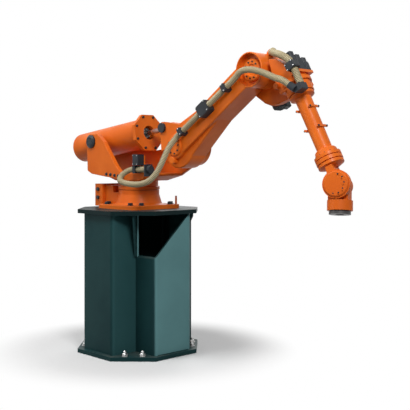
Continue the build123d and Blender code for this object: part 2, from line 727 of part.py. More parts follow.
def across(plane, sketch, low, high):
    """Sketch extruded between two distances along the plane's normal."""
    return extrude(plane.offset(low) * sketch, amount=high - low, dir=plane.z_dir)


ring_back = yoke_start - WRIST_REACH
neck_front = -WRIST_BODY_R - 12
yoke_outline = [
    (yoke_start, 0),
    (yoke_start, WRIST_RING_R),
    (yoke_start + 27, WRIST_RING_R),
    (yoke_start + 27, WRIST_RING_R - 11),
    (yoke_start + 35, WRIST_RING_R - 11),
    (yoke_start + 35, WRIST_RING_R - 3),
    (yoke_start + 56, WRIST_RING_R - 3),
    (yoke_start + 80, NECK_HALF + 20),
    (yoke_start + 80, 0),
]
yoke = turned(roll_origin, u, yoke_outline)
neck_back = ring_back + 70
neck = Pos((neck_back + neck_front) / 2, 0) * Rectangle(neck_front - neck_back, 2 * NECK_HALF)
yoke += across(wrist_plane, neck, -FAR_YOKE_OUTER, YOKE_OUTER)
arms = ((YOKE_INNER, YOKE_OUTER, YOKE_R), (-FAR_YOKE_OUTER, -FAR_YOKE_INNER, FAR_YOKE_R))
for low, high, end_r in arms:
    plate_ends = [(neck_back, NECK_HALF), (-10, NECK_HALF + 22)]
    plate_ends += [(x, -y) for x, y in reversed(plate_ends)]
    arm_plate = Polygon(*plate_ends, align=None)
    yoke += across(wrist_plane, arm_plate, low, high)
    yoke += across(wrist_plane, Circle(end_r), low, high)
    yoke -= across(wrist_plane, Circle(WRIST_PIN_R + RUNNING_GAP), low - 1, high + 1)
save("wrist_yoke", yoke)

near_cover = [(0, 0), (0, YOKE_R - 12), (8, YOKE_R - 12), (14, YOKE_R - 20), (14, 0)]
far_cover = [(0, 0), (0, FAR_YOKE_R - 14), (6, FAR_YOKE_R - 14), (9, FAR_YOKE_R - 18), (9, 0)]
cover_near = turned(wrist_centre + bend_axis * YOKE_OUTER, bend_axis, near_cover)
cover_far = turned(wrist_centre - bend_axis * FAR_YOKE_OUTER, -bend_axis, far_cover)
save("wrist_covers", Compound(children=[cover_near, cover_far]))

tool_axis = u.rotate(Axis((0, 0, 0), bend_axis), WRIST_BEND)
tool_plane = Plane(origin=wrist_centre, x_dir=tool_axis, z_dir=bend_axis)
hand_near = YOKE_INNER - FACE_GAP
hand_far = FACE_GAP - FAR_YOKE_INNER
hand = across(tool_plane, Circle(WRIST_BODY_R), hand_far, hand_near)
hand_reach = YOKE_R + 10
hand_block = Pos(hand_reach / 2, 0) * Rectangle(hand_reach, 2 * WRIST_BODY_R - 12)
hand += across(tool_plane, hand_block, hand_far, hand_near)
hand_face = TOOL_FACE - TOOL_FLANGE_THICKNESS - FACE_GAP
hand += pin(wrist_centre, tool_axis, YOKE_R + 6, hand_face, HAND_R)
hand += across(tool_plane, Circle(WRIST_PIN_R), 2 - FAR_YOKE_OUTER, YOKE_OUTER - 2)
hand -= pin(wrist_centre, tool_axis, hand_face - 40, hand_face + 1, TOOL_SPIGOT_R + RUNNING_GAP)
save("wrist_hand", hand)

tool = turned(
    wrist_centre,
    tool_axis,
    [
        (hand_face - 34, 0),
        (hand_face - 34, TOOL_SPIGOT_R),
        (hand_face + FACE_GAP, TOOL_SPIGOT_R),
        (hand_face + FACE_GAP, TOOL_FLANGE_R),
        (TOOL_FACE, TOOL_FLANGE_R),
        (TOOL_FACE, 31.5),
        (TOOL_FACE - 8, 31.5),
        (TOOL_FACE - 8, 0),
    ],
)
flange_plane = Plane(origin=wrist_centre + tool_axis * TOOL_FACE, x_dir=bend_axis, z_dir=tool_axis)
for spot in PolarLocations(TOOL_BOLT_CIRCLE / 2, 6):
    tool -= extrude(flange_plane.offset(-18) * spot * Circle(TOOL_BOLT_R), amount=20)
save("tool_flange", tool)
print("wrist centre", wrist_centre, "tool axis", tool_axis, "bend axis", bend_axis)
print("elbow", elbow_point, "eye", eye_centre, "balancer axis", balancer_axis, "eye distance", eye_distance)
print("roll origin", roll_origin, "u", u, "w", w)
print("tool face centre", wrist_centre + tool_axis * TOOL_FACE)

# Hoses, clamped between the turret, the lower arm and the elbow


def saddle(centre, along, out, length, width, depth, bore=HOSE_R):
    """Clamp block that stands on a face and holds a hose: out points away from the face."""
    plane = Plane(origin=centre - out * depth, x_dir=along, z_dir=out)
    body = extrude(plane * chamfer(Rectangle(length, width).vertices(), 6), amount=depth + bore + 9)
    return body - pin(centre - along * length, along, 0, 2 * length, bore + RUNNING_GAP)


forward = Vector(1, 0, 0)
outward = Vector(0, -1, 0)
run_start = Vector(420, DECK_RIGHT - 42, TOP + 362)
run_end = Vector(245, DECK_RIGHT - 42, TOP + 362)
save("hose_turret_run", pin(run_end, forward, 0, (run_start - run_end).length, HOSE_R))
gland = block(420, 434, DECK_RIGHT - 86, DECK_RIGHT, 302, 408)
gland += pin(run_start, forward, 14, 48, HOSE_R + 8)
save("turret_hose_gland", gland)
save("turret_hose_clamp", saddle(run_end + forward * 20, forward, outward, 34, CLAMP_WIDTH + 2, 42))


def arm_point(along, up, y):
    """Point in the lower arm's own frame, at rest."""
    x = SHOULDER_X + along * cos(turn) - up * sin(turn)
    return Vector(x, y, TOP + SHOULDER_RISE + along * sin(turn) + up * cos(turn))


arm_start = arm_point(150, 28, HOSE_Y)
arm_end = arm_point(ARM_LENGTH - 225, 12, HOSE_Y)
arm_run = (arm_end - arm_start).normalized()
arm_span = (arm_end - arm_start).length
loop_route = [
    run_end,
    (173, -247, TOP + 362),
    (126, -309, TOP + 310),
    (173, -372, TOP + 258),
    (318, -390, TOP + 238),
    (462, -392, TOP + 233),
    (584, -380, TOP + 258),
    (646, -350, TOP + 323),
    (672, -312, TOP + 406),
    (679, -274, TOP + 486),
    (685, -234, TOP + 556),
    (700, -186, TOP + 618),
    arm_start - arm_run * 48,
    arm_start,
]
save("hose_shoulder_loop", hose("shoulder loop", loop_route, HOSE_R))

save("hose_arm_run", pin(arm_start, arm_run, 0, arm_span, HOSE_R))
clamp_depth = ARM_RIGHT - HOSE_Y
clamp_low = saddle(arm_start + arm_run * 28, arm_run, outward, CLAMP_LENGTH, CLAMP_WIDTH, clamp_depth)
clamp_high = saddle(arm_end - arm_run * 28, arm_run, outward, CLAMP_LENGTH, CLAMP_WIDTH, clamp_depth)
save("arm_hose_clamps", Compound(children=[clamp_low, clamp_high]))
save("arm_cable_box", saddle(arm_start + arm_run * 358, arm_run, outward, 126, 104, clamp_depth))

elbow_route = [
    arm_end,
    arm_end + arm_run * 92,
    elbow_point + Vector(-36, -182, -6),
    elbow_point + Vector(84, -190, -6),
    elbow_point + Vector(222, -192, -47),
    forearm_point(244, 252, -186),
    elbow_hose_end - elbow_hose_way * 80,
    elbow_hose_end,
]
save("hose_elbow_loop", hose("elbow loop", elbow_route, HOSE_R))

top_clamp_at = forearm_point(217, 398, TOP_HOSE_Y)
top_route = [
    top_hose_start,
    top_hose_start + top_hose_way,
    forearm_point(-56, 190, -4),
    forearm_point(-28, 214, -34),
    forearm_point(6, 254, -70),
    forearm_point(48, 302, -104),
    forearm_point(98, 348, -128),
    forearm_point(152, 384, TOP_HOSE_Y),
    top_clamp_at,
    forearm_point(297, 397, -130),
    forearm_point(372, 397, -130),
]
save("hose_forearm_loop", hose("forearm loop", top_route, TOP_HOSE_R))
top_clamp_depth = plate_right - TOP_HOSE_Y
top_clamp_bore = TOP_HOSE_R + FACE_GAP
top_clamp_way = (u * 10 + w).normalized()
top_clamp = saddle(top_clamp_at, top_clamp_way, outward, 60, 82, top_clamp_depth, top_clamp_bore)
save("forearm_hose_clamp", top_clamp)
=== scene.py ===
import json
import math

import bpy
from mathutils import Matrix, Vector


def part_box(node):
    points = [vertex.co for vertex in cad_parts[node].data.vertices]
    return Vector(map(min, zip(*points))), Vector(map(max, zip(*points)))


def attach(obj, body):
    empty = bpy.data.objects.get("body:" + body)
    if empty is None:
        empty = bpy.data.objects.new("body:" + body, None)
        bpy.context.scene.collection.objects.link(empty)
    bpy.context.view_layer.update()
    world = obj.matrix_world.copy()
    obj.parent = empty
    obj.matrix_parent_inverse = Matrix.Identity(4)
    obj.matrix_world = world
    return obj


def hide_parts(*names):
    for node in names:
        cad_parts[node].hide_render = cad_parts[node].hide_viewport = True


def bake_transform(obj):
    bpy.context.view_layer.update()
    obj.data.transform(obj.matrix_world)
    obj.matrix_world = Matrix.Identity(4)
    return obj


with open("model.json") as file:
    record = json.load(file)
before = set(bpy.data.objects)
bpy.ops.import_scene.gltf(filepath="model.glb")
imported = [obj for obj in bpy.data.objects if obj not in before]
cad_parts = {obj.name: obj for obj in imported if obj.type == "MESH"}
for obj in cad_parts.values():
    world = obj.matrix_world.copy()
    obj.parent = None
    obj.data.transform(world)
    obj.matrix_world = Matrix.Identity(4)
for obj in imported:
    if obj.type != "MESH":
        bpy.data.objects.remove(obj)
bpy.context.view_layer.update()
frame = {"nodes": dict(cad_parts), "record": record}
scene = bpy.context.scene
record = frame["record"]
joints = {joint["name"]: joint for joint in record["behaviour"]["joints"]}
print("frame loaded:", len(frame["nodes"]), "nodes")


# places that the pieces hang from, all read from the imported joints
shoulderAt = Vector(joints["shoulder"]["pos_m"])
elbowAt = Vector(joints["elbow"]["pos_m"])
wristAt = Vector(joints["bend"]["pos_m"])
rollAt = Vector(joints["roll"]["pos_m"])
rollAxis = Vector(joints["roll"]["axis"]).normalized()
bendAxis = Vector(joints["bend"]["axis"]).normalized()
balancerAxis = Vector(joints["balancer_slide"]["axis"]).normalized()
forearmUp = Vector((-rollAxis.z, 0, rollAxis.x))
armAlong = (elbowAt - shoulderAt).normalized()
armUp = Vector((-armAlong.z, 0, armAlong.x))
sideOut = Vector((0, -1, 0))  # towards the hose side
sideIn = Vector((0, 1, 0))


def armPoint(along, up, y):
    return shoulderAt + armAlong * along + armUp * up + Vector((0, y, 0))


def forearmPoint(along, up, y):
    return elbowAt + rollAxis * along + forearmUp * up + Vector((0, y, 0))


def clearSelection():
    if bpy.context.mode != "OBJECT":
        bpy.ops.object.mode_set(mode="OBJECT")
    bpy.ops.object.select_all(action="DESELECT")


def useOnly(piece):
    clearSelection()
    piece.select_set(True)
    bpy.context.view_layer.objects.active = piece


def selectFaces(piece, test):
    # picks faces by their place or normal, then opens edit mode in face select
    useOnly(piece)
    bpy.ops.object.mode_set(mode="EDIT")
    bpy.ops.mesh.select_mode(type="FACE")
    bpy.ops.mesh.select_all(action="DESELECT")
    bpy.ops.object.mode_set(mode="OBJECT")
    for face in piece.data.polygons:
        face.select = test(face)
    bpy.ops.object.mode_set(mode="EDIT")


def applyModifiers(piece):
    useOnly(piece)
    for modifier in list(piece.modifiers):
        bpy.ops.object.modifier_apply(modifier=modifier.name)


def settle(piece, name, finish):
    # place goes into the mesh, object back to the origin
    useOnly(piece)
    bpy.ops.object.transform_apply(location=True, rotation=True, scale=True)
    piece.name = name
    piece.data.name = name
    piece.data.materials.clear()
    piece.data.materials.append(finish)
    return piece


# camera at the photograph's angle, level, with the horizon above the middle of the frame
cameraSet = {
    "azimuth": 46.0,
    "place": (6.001, -4.942, 1.746),
    "lens": 73.17,
    "shiftY": -0.1098,
}
cameraData = bpy.data.cameras.new("photoCamera")
cameraData.lens = cameraSet["lens"]
cameraData.shift_y = cameraSet["shiftY"]
cameraData.clip_end = 60
cameraObject = bpy.data.objects.new("photoCamera", cameraData)
cameraObject.location = cameraSet["place"]
cameraObject.rotation_euler = (math.radians(90), 0, math.radians(cameraSet["azimuth"]))
scene.collection.objects.link(cameraObject)
scene.camera = cameraObject
scene.view_settings.view_transform = "Standard"
print("camera placed")


# node groups shared by the finishes

def newGroup(name, inputs, outputs):
    group = bpy.data.node_groups.new(name, "ShaderNodeTree")
    for label, value in inputs:
        socket = group.interface.new_socket(name=label, in_out="INPUT", socket_type="NodeSocketFloat")
        socket.default_value = value
    for label in outputs:
        group.interface.new_socket(name=label, in_out="OUTPUT", socket_type="NodeSocketFloat")
    groupIn = group.nodes.new("NodeGroupInput")
    groupOut = group.nodes.new("NodeGroupOutput")
    return group, groupIn, groupOut


def addMath(tree, kind, first, second):
    node = tree.nodes.new("ShaderNodeMath")
    node.operation = kind
    for index, value in enumerate((first, second)):
        if isinstance(value, (int, float)):
            node.inputs[index].default_value = value
        else:
            tree.links.new(value, node.inputs[index])
    return node.outputs[0]


def addRange(tree, value, low, high, outLow=0.0, outHigh=1.0):
    node = tree.nodes.new("ShaderNodeMapRange")
    node.interpolation_type = "SMOOTHSTEP"
    for label, number in (("From Min", low), ("From Max", high), ("To Min", outLow), ("To Max", outHigh)):
        node.inputs[label].default_value = number
    tree.links.new(value, node.inputs["Value"])
    return node.outputs["Result"]


def addNoise(tree, place, scaleValue, detail, rough=0.55):
    node = tree.nodes.new("ShaderNodeTexNoise")
    node.inputs["Detail"].default_value = detail
    node.inputs["Roughness"].default_value = rough
    tree.links.new(place, node.inputs["Vector"])
    if isinstance(scaleValue, (int, float)):
        node.inputs["Scale"].default_value = scaleValue
    else:
        tree.links.new(scaleValue, node.inputs["Scale"])
    return node.outputs["Fac"]


def makeGrainGroup():
    group, groupIn, groupOut = newGroup("paintGrain", [("broadScale", 3.0), ("fineScale", 400.0)], ["broad", "fine"])
    place = group.nodes.new("ShaderNodeTexCoord").outputs["Object"]
    broad = addNoise(group, place, groupIn.outputs["broadScale"], 4)
    fine = addNoise(group, place, groupIn.outputs["fineScale"], 2)
    group.links.new(addRange(group, broad, 0.3, 0.7), groupOut.inputs["broad"])
    group.links.new(fine, groupOut.inputs["fine"])
    return group


def makeEdgeGroup():
    # bevelled normal against the true one: they part only near an edge
    group, groupIn, groupOut = newGroup("edgeWear", [("width", 0.006), ("breakUp", 45.0)], ["mask"])
    place = group.nodes.new("ShaderNodeTexCoord").outputs["Object"]
    bevel = group.nodes.new("ShaderNodeBevel")
    bevel.samples = 6
    group.links.new(groupIn.outputs["width"], bevel.inputs["Radius"])
    geometry = group.nodes.new("ShaderNodeNewGeometry")
    dot = group.nodes.new("ShaderNodeVectorMath")
    dot.operation = "DOT_PRODUCT"
    group.links.new(bevel.outputs["Normal"], dot.inputs[0])
    group.links.new(geometry.outputs["Normal"], dot.inputs[1])
    edge = addRange(group, addMath(group, "SUBTRACT", 1.0, dot.outputs["Value"]), 0.02, 0.16)
    patches = addRange(group, addNoise(group, place, groupIn.outputs["breakUp"], 5, 0.65), 0.42, 0.66)
    group.links.new(addMath(group, "MULTIPLY", edge, patches), groupOut.inputs["mask"])
    return group


def makeDustGroup():
    group, groupIn, groupOut = newGroup("settledDust", [("breakUp", 9.0)], ["mask"])
    place = group.nodes.new("ShaderNodeTexCoord").outputs["Object"]
    geometry = group.nodes.new("ShaderNodeNewGeometry")
    split = group.nodes.new("ShaderNodeSeparateXYZ")
    group.links.new(geometry.outputs["Normal"], split.inputs[0])
    facingUp = addRange(group, split.outputs["Z"], 0.35, 0.95)
    patches = addRange(group, addNoise(group, place, groupIn.outputs["breakUp"], 6, 0.6), 0.35, 0.75)
    group.links.new(addMath(group, "MULTIPLY", facingUp, patches), groupOut.inputs["mask"])
    return group


def makePaintedLightGroup():
    # painted light: faces that look forward, towards +X, are tinted paler, standing in for light from that side,
    # broken up a little by noise
    group, groupIn, groupOut = newGroup("paintedSideLight", [("breakUp", 2.0)], ["mask"])
    place = group.nodes.new("ShaderNodeTexCoord").outputs["Object"]
    geometry = group.nodes.new("ShaderNodeNewGeometry")
    split = group.nodes.new("ShaderNodeSeparateXYZ")
    group.links.new(geometry.outputs["Normal"], split.inputs[0])
    paintedLitSide = addRange(group, split.outputs["X"], 0.45, 0.98)
    patches = addRange(group, addNoise(group, place, groupIn.outputs["breakUp"], 3), 0.25, 0.75, 0.8, 1.0)
    group.links.new(addMath(group, "MULTIPLY", paintedLitSide, patches), groupOut.inputs["mask"])
    return group


grainGroup = makeGrainGroup()
edgeGroup = makeEdgeGroup()
dustGroup = makeDustGroup()
paintedLightGroup = makePaintedLightGroup()


def placeGroup(tree, group, values):
    node = tree.nodes.new("ShaderNodeGroup")
    node.node_tree = group
    for label, value in values.items():
        node.inputs[label].default_value = value
    return node


def mixColour(tree, factor, first, second):
    node = tree.nodes.new("ShaderNodeMix")
    node.data_type = "RGBA"
    tree.links.new(factor, node.inputs["Factor"])
    for label, value in (("A", first), ("B", second)):
        socket = [s for s in node.inputs if s.name == label and s.type == "RGBA"][0]
        if isinstance(value, tuple):
            socket.default_value = (*value, 1)
        else:
            tree.links.new(value, socket)
    return [s for s in node.outputs if s.type == "RGBA"][0]


def makeFinish(name, look):
    finish = bpy.data.materials.new(name)
    finish.use_nodes = True
    tree = finish.node_tree
    shader = tree.nodes["Principled BSDF"]
    grain = placeGroup(tree, grainGroup, {"broadScale": look["broadScale"], "fineScale": look["fineScale"]})
    wear = placeGroup(tree, edgeGroup, {"width": look["wearWidth"], "breakUp": look["wearScale"]})
    dust = placeGroup(tree, dustGroup, {"breakUp": look["dustScale"]})
    tint = mixColour(tree, grain.outputs["broad"], look["colour"], look["shade"])
    # painted light: when a look carries a paler colour for forward faces, the faces towards +X are tinted towards it,
    # standing in for light from that side
    if "paintedLitColour" in look:
        paintedLight = placeGroup(tree, paintedLightGroup, {"breakUp": look["paintedLightScale"]})
        tint = mixColour(tree, paintedLight.outputs["mask"], tint, look["paintedLitColour"])
    wearMask = addMath(tree, "MULTIPLY", wear.outputs["mask"], look["wear"])
    tint = mixColour(tree, wearMask, tint, look["bare"])
    dustMask = addMath(tree, "MULTIPLY", dust.outputs["mask"], look["dust"])
    tint = mixColour(tree, dustMask, tint, look["dustColour"])
    tree.links.new(tint, shader.inputs["Base Color"])
    roughness = addRange(tree, grain.outputs["broad"], 0, 1, look["roughLow"], look["roughHigh"])
    roughness = addMath(tree, "ADD", roughness, addMath(tree, "MULTIPLY", dustMask, 0.5))
    tree.links.new(roughness, shader.inputs["Roughness"])
    shader.inputs["Metallic"].default_value = look["metallic"]
    shader.inputs["Coat Weight"].default_value = look["coat"]
    shader.inputs["Coat Roughness"].default_value = 0.12
    shader.inputs["Specular IOR Level"].default_value = look["specular"]
    bump = tree.nodes.new("ShaderNodeBump")
    bump.inputs["Strength"].default_value = look["bump"]
    bump.inputs["Distance"].default_value = look["bumpDepth"]
    tree.links.new(grain.outputs["fine"], bump.inputs["Height"])
    tree.links.new(bump.outputs["Normal"], shader.inputs["Normal"])
    return finish


dustTone = (0.42, 0.36, 0.29)
orangeLook = {
    "colour": (0.79, 0.165, 0.012), "shade": (0.66, 0.120, 0.009), "bare": (0.92, 0.38, 0.11),
    "wear": 0.35, "wearWidth": 0.005, "wearScale": 38.0, "dust": 0.10, "dustScale": 7.0,
    "dustColour": dustTone, "broadScale": 2.4, "fineScale": 260.0, "roughLow": 0.36, "roughHigh": 0.47,
    "metallic": 0.0, "coat": 0.03, "specular": 0.16, "bump": 0.10, "bumpDepth": 0.0012,
}
greenLook = {
    "colour": (0.014, 0.054, 0.056), "shade": (0.009, 0.036, 0.039), "bare": (0.06, 0.12, 0.12),
    "wear": 0.40, "wearWidth": 0.006, "wearScale": 26.0, "dust": 0.12, "dustScale": 5.0,
    "dustColour": dustTone, "broadScale": 1.6, "fineScale": 180.0, "roughLow": 0.34, "roughHigh": 0.46,
    "metallic": 0.0, "coat": 0.0, "specular": 0.07, "bump": 0.14, "bumpDepth": 0.0015,
}
blackLook = {
    "colour": (0.022, 0.027, 0.033), "shade": (0.015, 0.018, 0.022), "bare": (0.12, 0.13, 0.14),
    "wear": 0.45, "wearWidth": 0.003, "wearScale": 70.0, "dust": 0.15, "dustScale": 14.0,
    "dustColour": dustTone, "broadScale": 6.0, "fineScale": 520.0, "roughLow": 0.40, "roughHigh": 0.54,
    "metallic": 0.0, "coat": 0.0, "specular": 0.25, "bump": 0.16, "bumpDepth": 0.0008,
}
steelLook = {
    "colour": (0.62, 0.62, 0.61), "shade": (0.48, 0.48, 0.48), "bare": (0.75, 0.75, 0.74),
    "wear": 0.30, "wearWidth": 0.002, "wearScale": 60.0, "dust": 0.05, "dustScale": 12.0,
    "dustColour": dustTone, "broadScale": 5.0, "fineScale": 700.0, "roughLow": 0.22, "roughHigh": 0.34,
    "metallic": 1.0, "coat": 0.0, "specular": 0.5, "bump": 0.06, "bumpDepth": 0.0005,
}
darkSteelLook = {
    "colour": (0.085, 0.080, 0.078), "shade": (0.055, 0.052, 0.052), "bare": (0.32, 0.31, 0.30),
    "wear": 0.50, "wearWidth": 0.002, "wearScale": 80.0, "dust": 0.10, "dustScale": 12.0,
    "dustColour": dustTone, "broadScale": 8.0, "fineScale": 700.0, "roughLow": 0.36, "roughHigh": 0.48,
    "metallic": 0.75, "coat": 0.0, "specular": 0.5, "bump": 0.08, "bumpDepth": 0.0005,
}
# painted light: the front wing's forward faces are tinted pale teal and the right wing's forward side a little paler,
# standing in for light from the +X side
frontPaintedLightGreenLook = dict(greenLook, paintedLitColour=(0.150, 0.330, 0.345), paintedLightScale=1.8)
sidePaintedLightGreenLook = dict(greenLook, paintedLitColour=(0.030, 0.095, 0.100), paintedLightScale=1.8)
# painted shade: a darker copy of the pedestal green for the top plate, standing in for the shade on its edge
plateShadedGreenLook = dict(greenLook, colour=(0.006, 0.020, 0.021), shade=(0.004, 0.013, 0.014))
finishes = {
    "orange_paint": makeFinish("orangePaint", orangeLook),
    "pedestal_green": makeFinish("pedestalGreen", greenLook),
    "black_parts": makeFinish("blackParts", blackLook),
    "bright_steel": makeFinish("brightSteel", steelLook),
    "dark_steel": makeFinish("darkSteel", darkSteelLook),
}
# copies of the pedestal green with painted light on their forward faces
frontPaintedLightGreen = makeFinish("pedestalFrontPaintedLightGreen", frontPaintedLightGreenLook)
sidePaintedLightGreen = makeFinish("pedestalSidePaintedLightGreen", sidePaintedLightGreenLook)
# copy of the pedestal green darkened as painted shade
plateShadedGreen = makeFinish("pedestalPlatePaintedShadeGreen", plateShadedGreenLook)


def makeHoseFinish():
    # grooves between the ribs are coloured darker than the crests: ribHeight is 0 in a groove and 1 on a crest
    look = {"crest": (0.52, 0.45, 0.27), "groove": (0.20, 0.16, 0.085), "stain": (0.40, 0.33, 0.19),
            "broadScale": 7.0, "fineScale": 500.0, "dustScale": 18.0, "dust": 0.15, "roughLow": 0.5, "roughHigh": 0.66,
            "bump": 0.12, "bumpDepth": 0.0006}
    finish = bpy.data.materials.new("hoseBeige")
    finish.use_nodes = True
    tree = finish.node_tree
    shader = tree.nodes["Principled BSDF"]
    rib = tree.nodes.new("ShaderNodeAttribute")
    rib.attribute_name = "ribHeight"
    grain = placeGroup(tree, grainGroup, {"broadScale": look["broadScale"], "fineScale": look["fineScale"]})
    dust = placeGroup(tree, dustGroup, {"breakUp": look["dustScale"]})
    crest = mixColour(tree, grain.outputs["broad"], look["crest"], look["stain"])
    tint = mixColour(tree, rib.outputs["Fac"], look["groove"], crest)
    tint = mixColour(tree, addMath(tree, "MULTIPLY", dust.outputs["mask"], look["dust"]), tint, dustTone)
    tree.links.new(tint, shader.inputs["Base Color"])
    roughness = addRange(tree, grain.outputs["broad"], 0, 1, look["roughLow"], look["roughHigh"])
    tree.links.new(roughness, shader.inputs["Roughness"])
    bump = tree.nodes.new("ShaderNodeBump")
    bump.inputs["Strength"].default_value = look["bump"]
    bump.inputs["Distance"].default_value = look["bumpDepth"]
    tree.links.new(grain.outputs["fine"], bump.inputs["Height"])
    tree.links.new(bump.outputs["Normal"], shader.inputs["Normal"])
    return finish


finishes["hose_beige"] = makeHoseFinish()
for row in record["subparts"]:
    for nodeSlot in frame["nodes"][row["node"]].material_slots:
        nodeSlot.material = finishes[row["material_slot"]]
# the wings take the copies with painted light on their forward faces, and the top plate takes the darker copy that is
# painted shade
for node, finish in (("pedestal_wing_front", frontPaintedLightGreen), ("pedestal_wing_right", sidePaintedLightGreen),
                     ("pedestal_top_plate", plateShadedGreen)):
    for nodeSlot in frame["nodes"][node].material_slots:
        nodeSlot.material = finish
print("finishes made:", len(finishes))


# corrugated hoses, each on the route of its node
hoseSet = {"pitch": 0.0125, "around": 18, "ribDepth": 0.0028}
lineDiameter = 0.052  # hose along turret and arm
topDiameter = 0.058  # thicker hose over the forearm


def makeRib(diameter):
    # one pitch of the hose: groove, crest, groove, drawn out of a circle
    crest = diameter / 2 - 0.0002
    groove = crest - hoseSet["ribDepth"]
    clearSelection()
    bpy.ops.mesh.primitive_circle_add(vertices=hoseSet["around"], radius=groove, location=(0, 0, 0))
    rib = bpy.context.object
    grow = crest / groove
    bpy.ops.object.mode_set(mode="EDIT")
    bpy.ops.mesh.select_all(action="SELECT")
    for step, size in ((0.16, 1.0), (0.18, grow), (0.32, 1.0), (0.18, 1 / grow), (0.16, 1.0)):
        bpy.ops.mesh.extrude_region_move(TRANSFORM_OT_translate={"value": (0, 0, step * hoseSet["pitch"])})
        if size != 1.0:
            bpy.ops.transform.resize(value=(size, size, 1))
    bpy.ops.object.mode_set(mode="OBJECT")
    height = rib.data.attributes.new("ribHeight", "FLOAT", "POINT")
    middle = (crest + groove) / 2
    for index, vertex in enumerate(rib.data.vertices):
        height.data[index].value = 1.0 if vertex.co.xy.length > middle else 0.0
    return rib


def makeRoute(name, points):
    routeData = bpy.data.curves.new(name, "CURVE")
    routeData.dimensions = "3D"
    routeData.resolution_u = 24
    spline = routeData.splines.new("NURBS")
    spline.points.add(len(points) - 1)
    for place, point in zip(points, spline.points):
        point.co = (*place, 1)
    spline.order_u = 3
    spline.use_endpoint_u = True
    route = bpy.data.objects.new(name, routeData)
    scene.collection.objects.link(route)
    return route


def makeHose(name, node, points, diameter):
    route = makeRoute(name + "Route", points)
    line = bpy.data.meshes.new_from_object(route)
    path = [vertex.co.copy() for vertex in line.vertices]
    length = sum((b - a).length for a, b in zip(path, path[1:]))
    rib = makeRib(diameter)
    array = rib.modifiers.new("ribs", "ARRAY")
    array.fit_type = "FIXED_COUNT"
    array.count = max(2, round(length / hoseSet["pitch"]))
    array.use_relative_offset = False
    array.use_constant_offset = True
    array.constant_offset_displace = (0, 0, length / array.count)
    array.use_merge_vertices = True
    array.merge_threshold = hoseSet["pitch"] * 0.08
    rib.scale.z = length / array.count / hoseSet["pitch"]
    useOnly(rib)
    bpy.ops.object.transform_apply(location=False, rotation=False, scale=True)
    follow = rib.modifiers.new("follow", "CURVE")
    follow.object = route
    follow.deform_axis = "POS_Z"
    applyModifiers(rib)
    bpy.ops.object.mode_set(mode="EDIT")
    bpy.ops.mesh.select_all(action="SELECT")
    bpy.ops.mesh.fill_holes(sides=0)
    bpy.ops.mesh.normals_make_consistent(inside=False)
    bpy.ops.object.mode_set(mode="OBJECT")
    bpy.ops.object.shade_smooth_by_angle(angle=math.radians(60))
    settle(rib, name, finishes["hose_beige"])
    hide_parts(node)
    bpy.data.objects.remove(route)
    bpy.data.meshes.remove(line)
    print(name, "length", round(length, 3), "faces", len(rib.data.polygons))
    return rib, path, length


hoseY = -0.173
runStart = Vector((0.420, -0.247, 1.662))
runEnd = Vector((0.245, -0.247, 1.662))
armStart = armPoint(0.150, 0.028, hoseY)
armEnd = armPoint(0.825, 0.012, hoseY)
armRun = (armEnd - armStart).normalized()
bracketEnd = forearmPoint(0.346, 0.330, -0.175)
bracketWay = (rollAxis * 46 + forearmUp * 24 + sideIn * 8).normalized()
topRoot = forearmPoint(-0.084, 0.136, 0.043)
topWay = rollAxis * 0.006 + forearmUp * 0.036 + sideOut * 0.020
topStart = topRoot + topWay.normalized() * 0.009

turretRun, path, length = makeHose("turretHose", "hose_turret_run", [runStart, (runStart + runEnd) / 2, runEnd],
                                   lineDiameter)
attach(turretRun, "turret")
shoulderRoute = [
    runEnd, (0.173, -0.247, 1.662), (0.126, -0.309, 1.610), (0.173, -0.372, 1.558), (0.318, -0.390, 1.538),
    (0.462, -0.392, 1.533), (0.584, -0.380, 1.558), (0.646, -0.350, 1.623), (0.672, -0.312, 1.706),
    (0.679, -0.274, 1.786), (0.685, -0.234, 1.856), (0.700, -0.186, 1.918), armStart - armRun * 0.048, armStart,
]
shoulderLoop, path, length = makeHose("shoulderHoseLoop", "hose_shoulder_loop", shoulderRoute, lineDiameter)
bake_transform(shoulderLoop)
armHose, path, length = makeHose("armHose", "hose_arm_run", [armStart, (armStart + armEnd) / 2, armEnd], lineDiameter)
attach(armHose, "lower_arm")
elbowRoute = [
    armEnd, armEnd + armRun * 0.092, elbowAt + Vector((-0.036, -0.182, -0.006)),
    elbowAt + Vector((0.084, -0.190, -0.006)), elbowAt + Vector((0.222, -0.192, -0.047)),
    forearmPoint(0.244, 0.252, -0.186), bracketEnd - bracketWay * 0.080, bracketEnd,
]
elbowLoop, path, length = makeHose("elbowHoseLoop", "hose_elbow_loop", elbowRoute, lineDiameter)
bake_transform(elbowLoop)
topRoute = [
    topStart, topStart + topWay, forearmPoint(-0.056, 0.190, -0.004), forearmPoint(-0.028, 0.214, -0.034),
    forearmPoint(0.006, 0.254, -0.070), forearmPoint(0.048, 0.302, -0.104), forearmPoint(0.098, 0.348, -0.128),
    forearmPoint(0.152, 0.384, -0.134), forearmPoint(0.217, 0.398, -0.134), forearmPoint(0.297, 0.397, -0.130),
    forearmPoint(0.372, 0.397, -0.130),
]
topLoop, path, length = makeHose("forearmHoseLoop", "hose_forearm_loop", topRoute, topDiameter)
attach(topLoop, "forearm")


# screws: one head of each kind, copied to its places and joined to one piece for each group

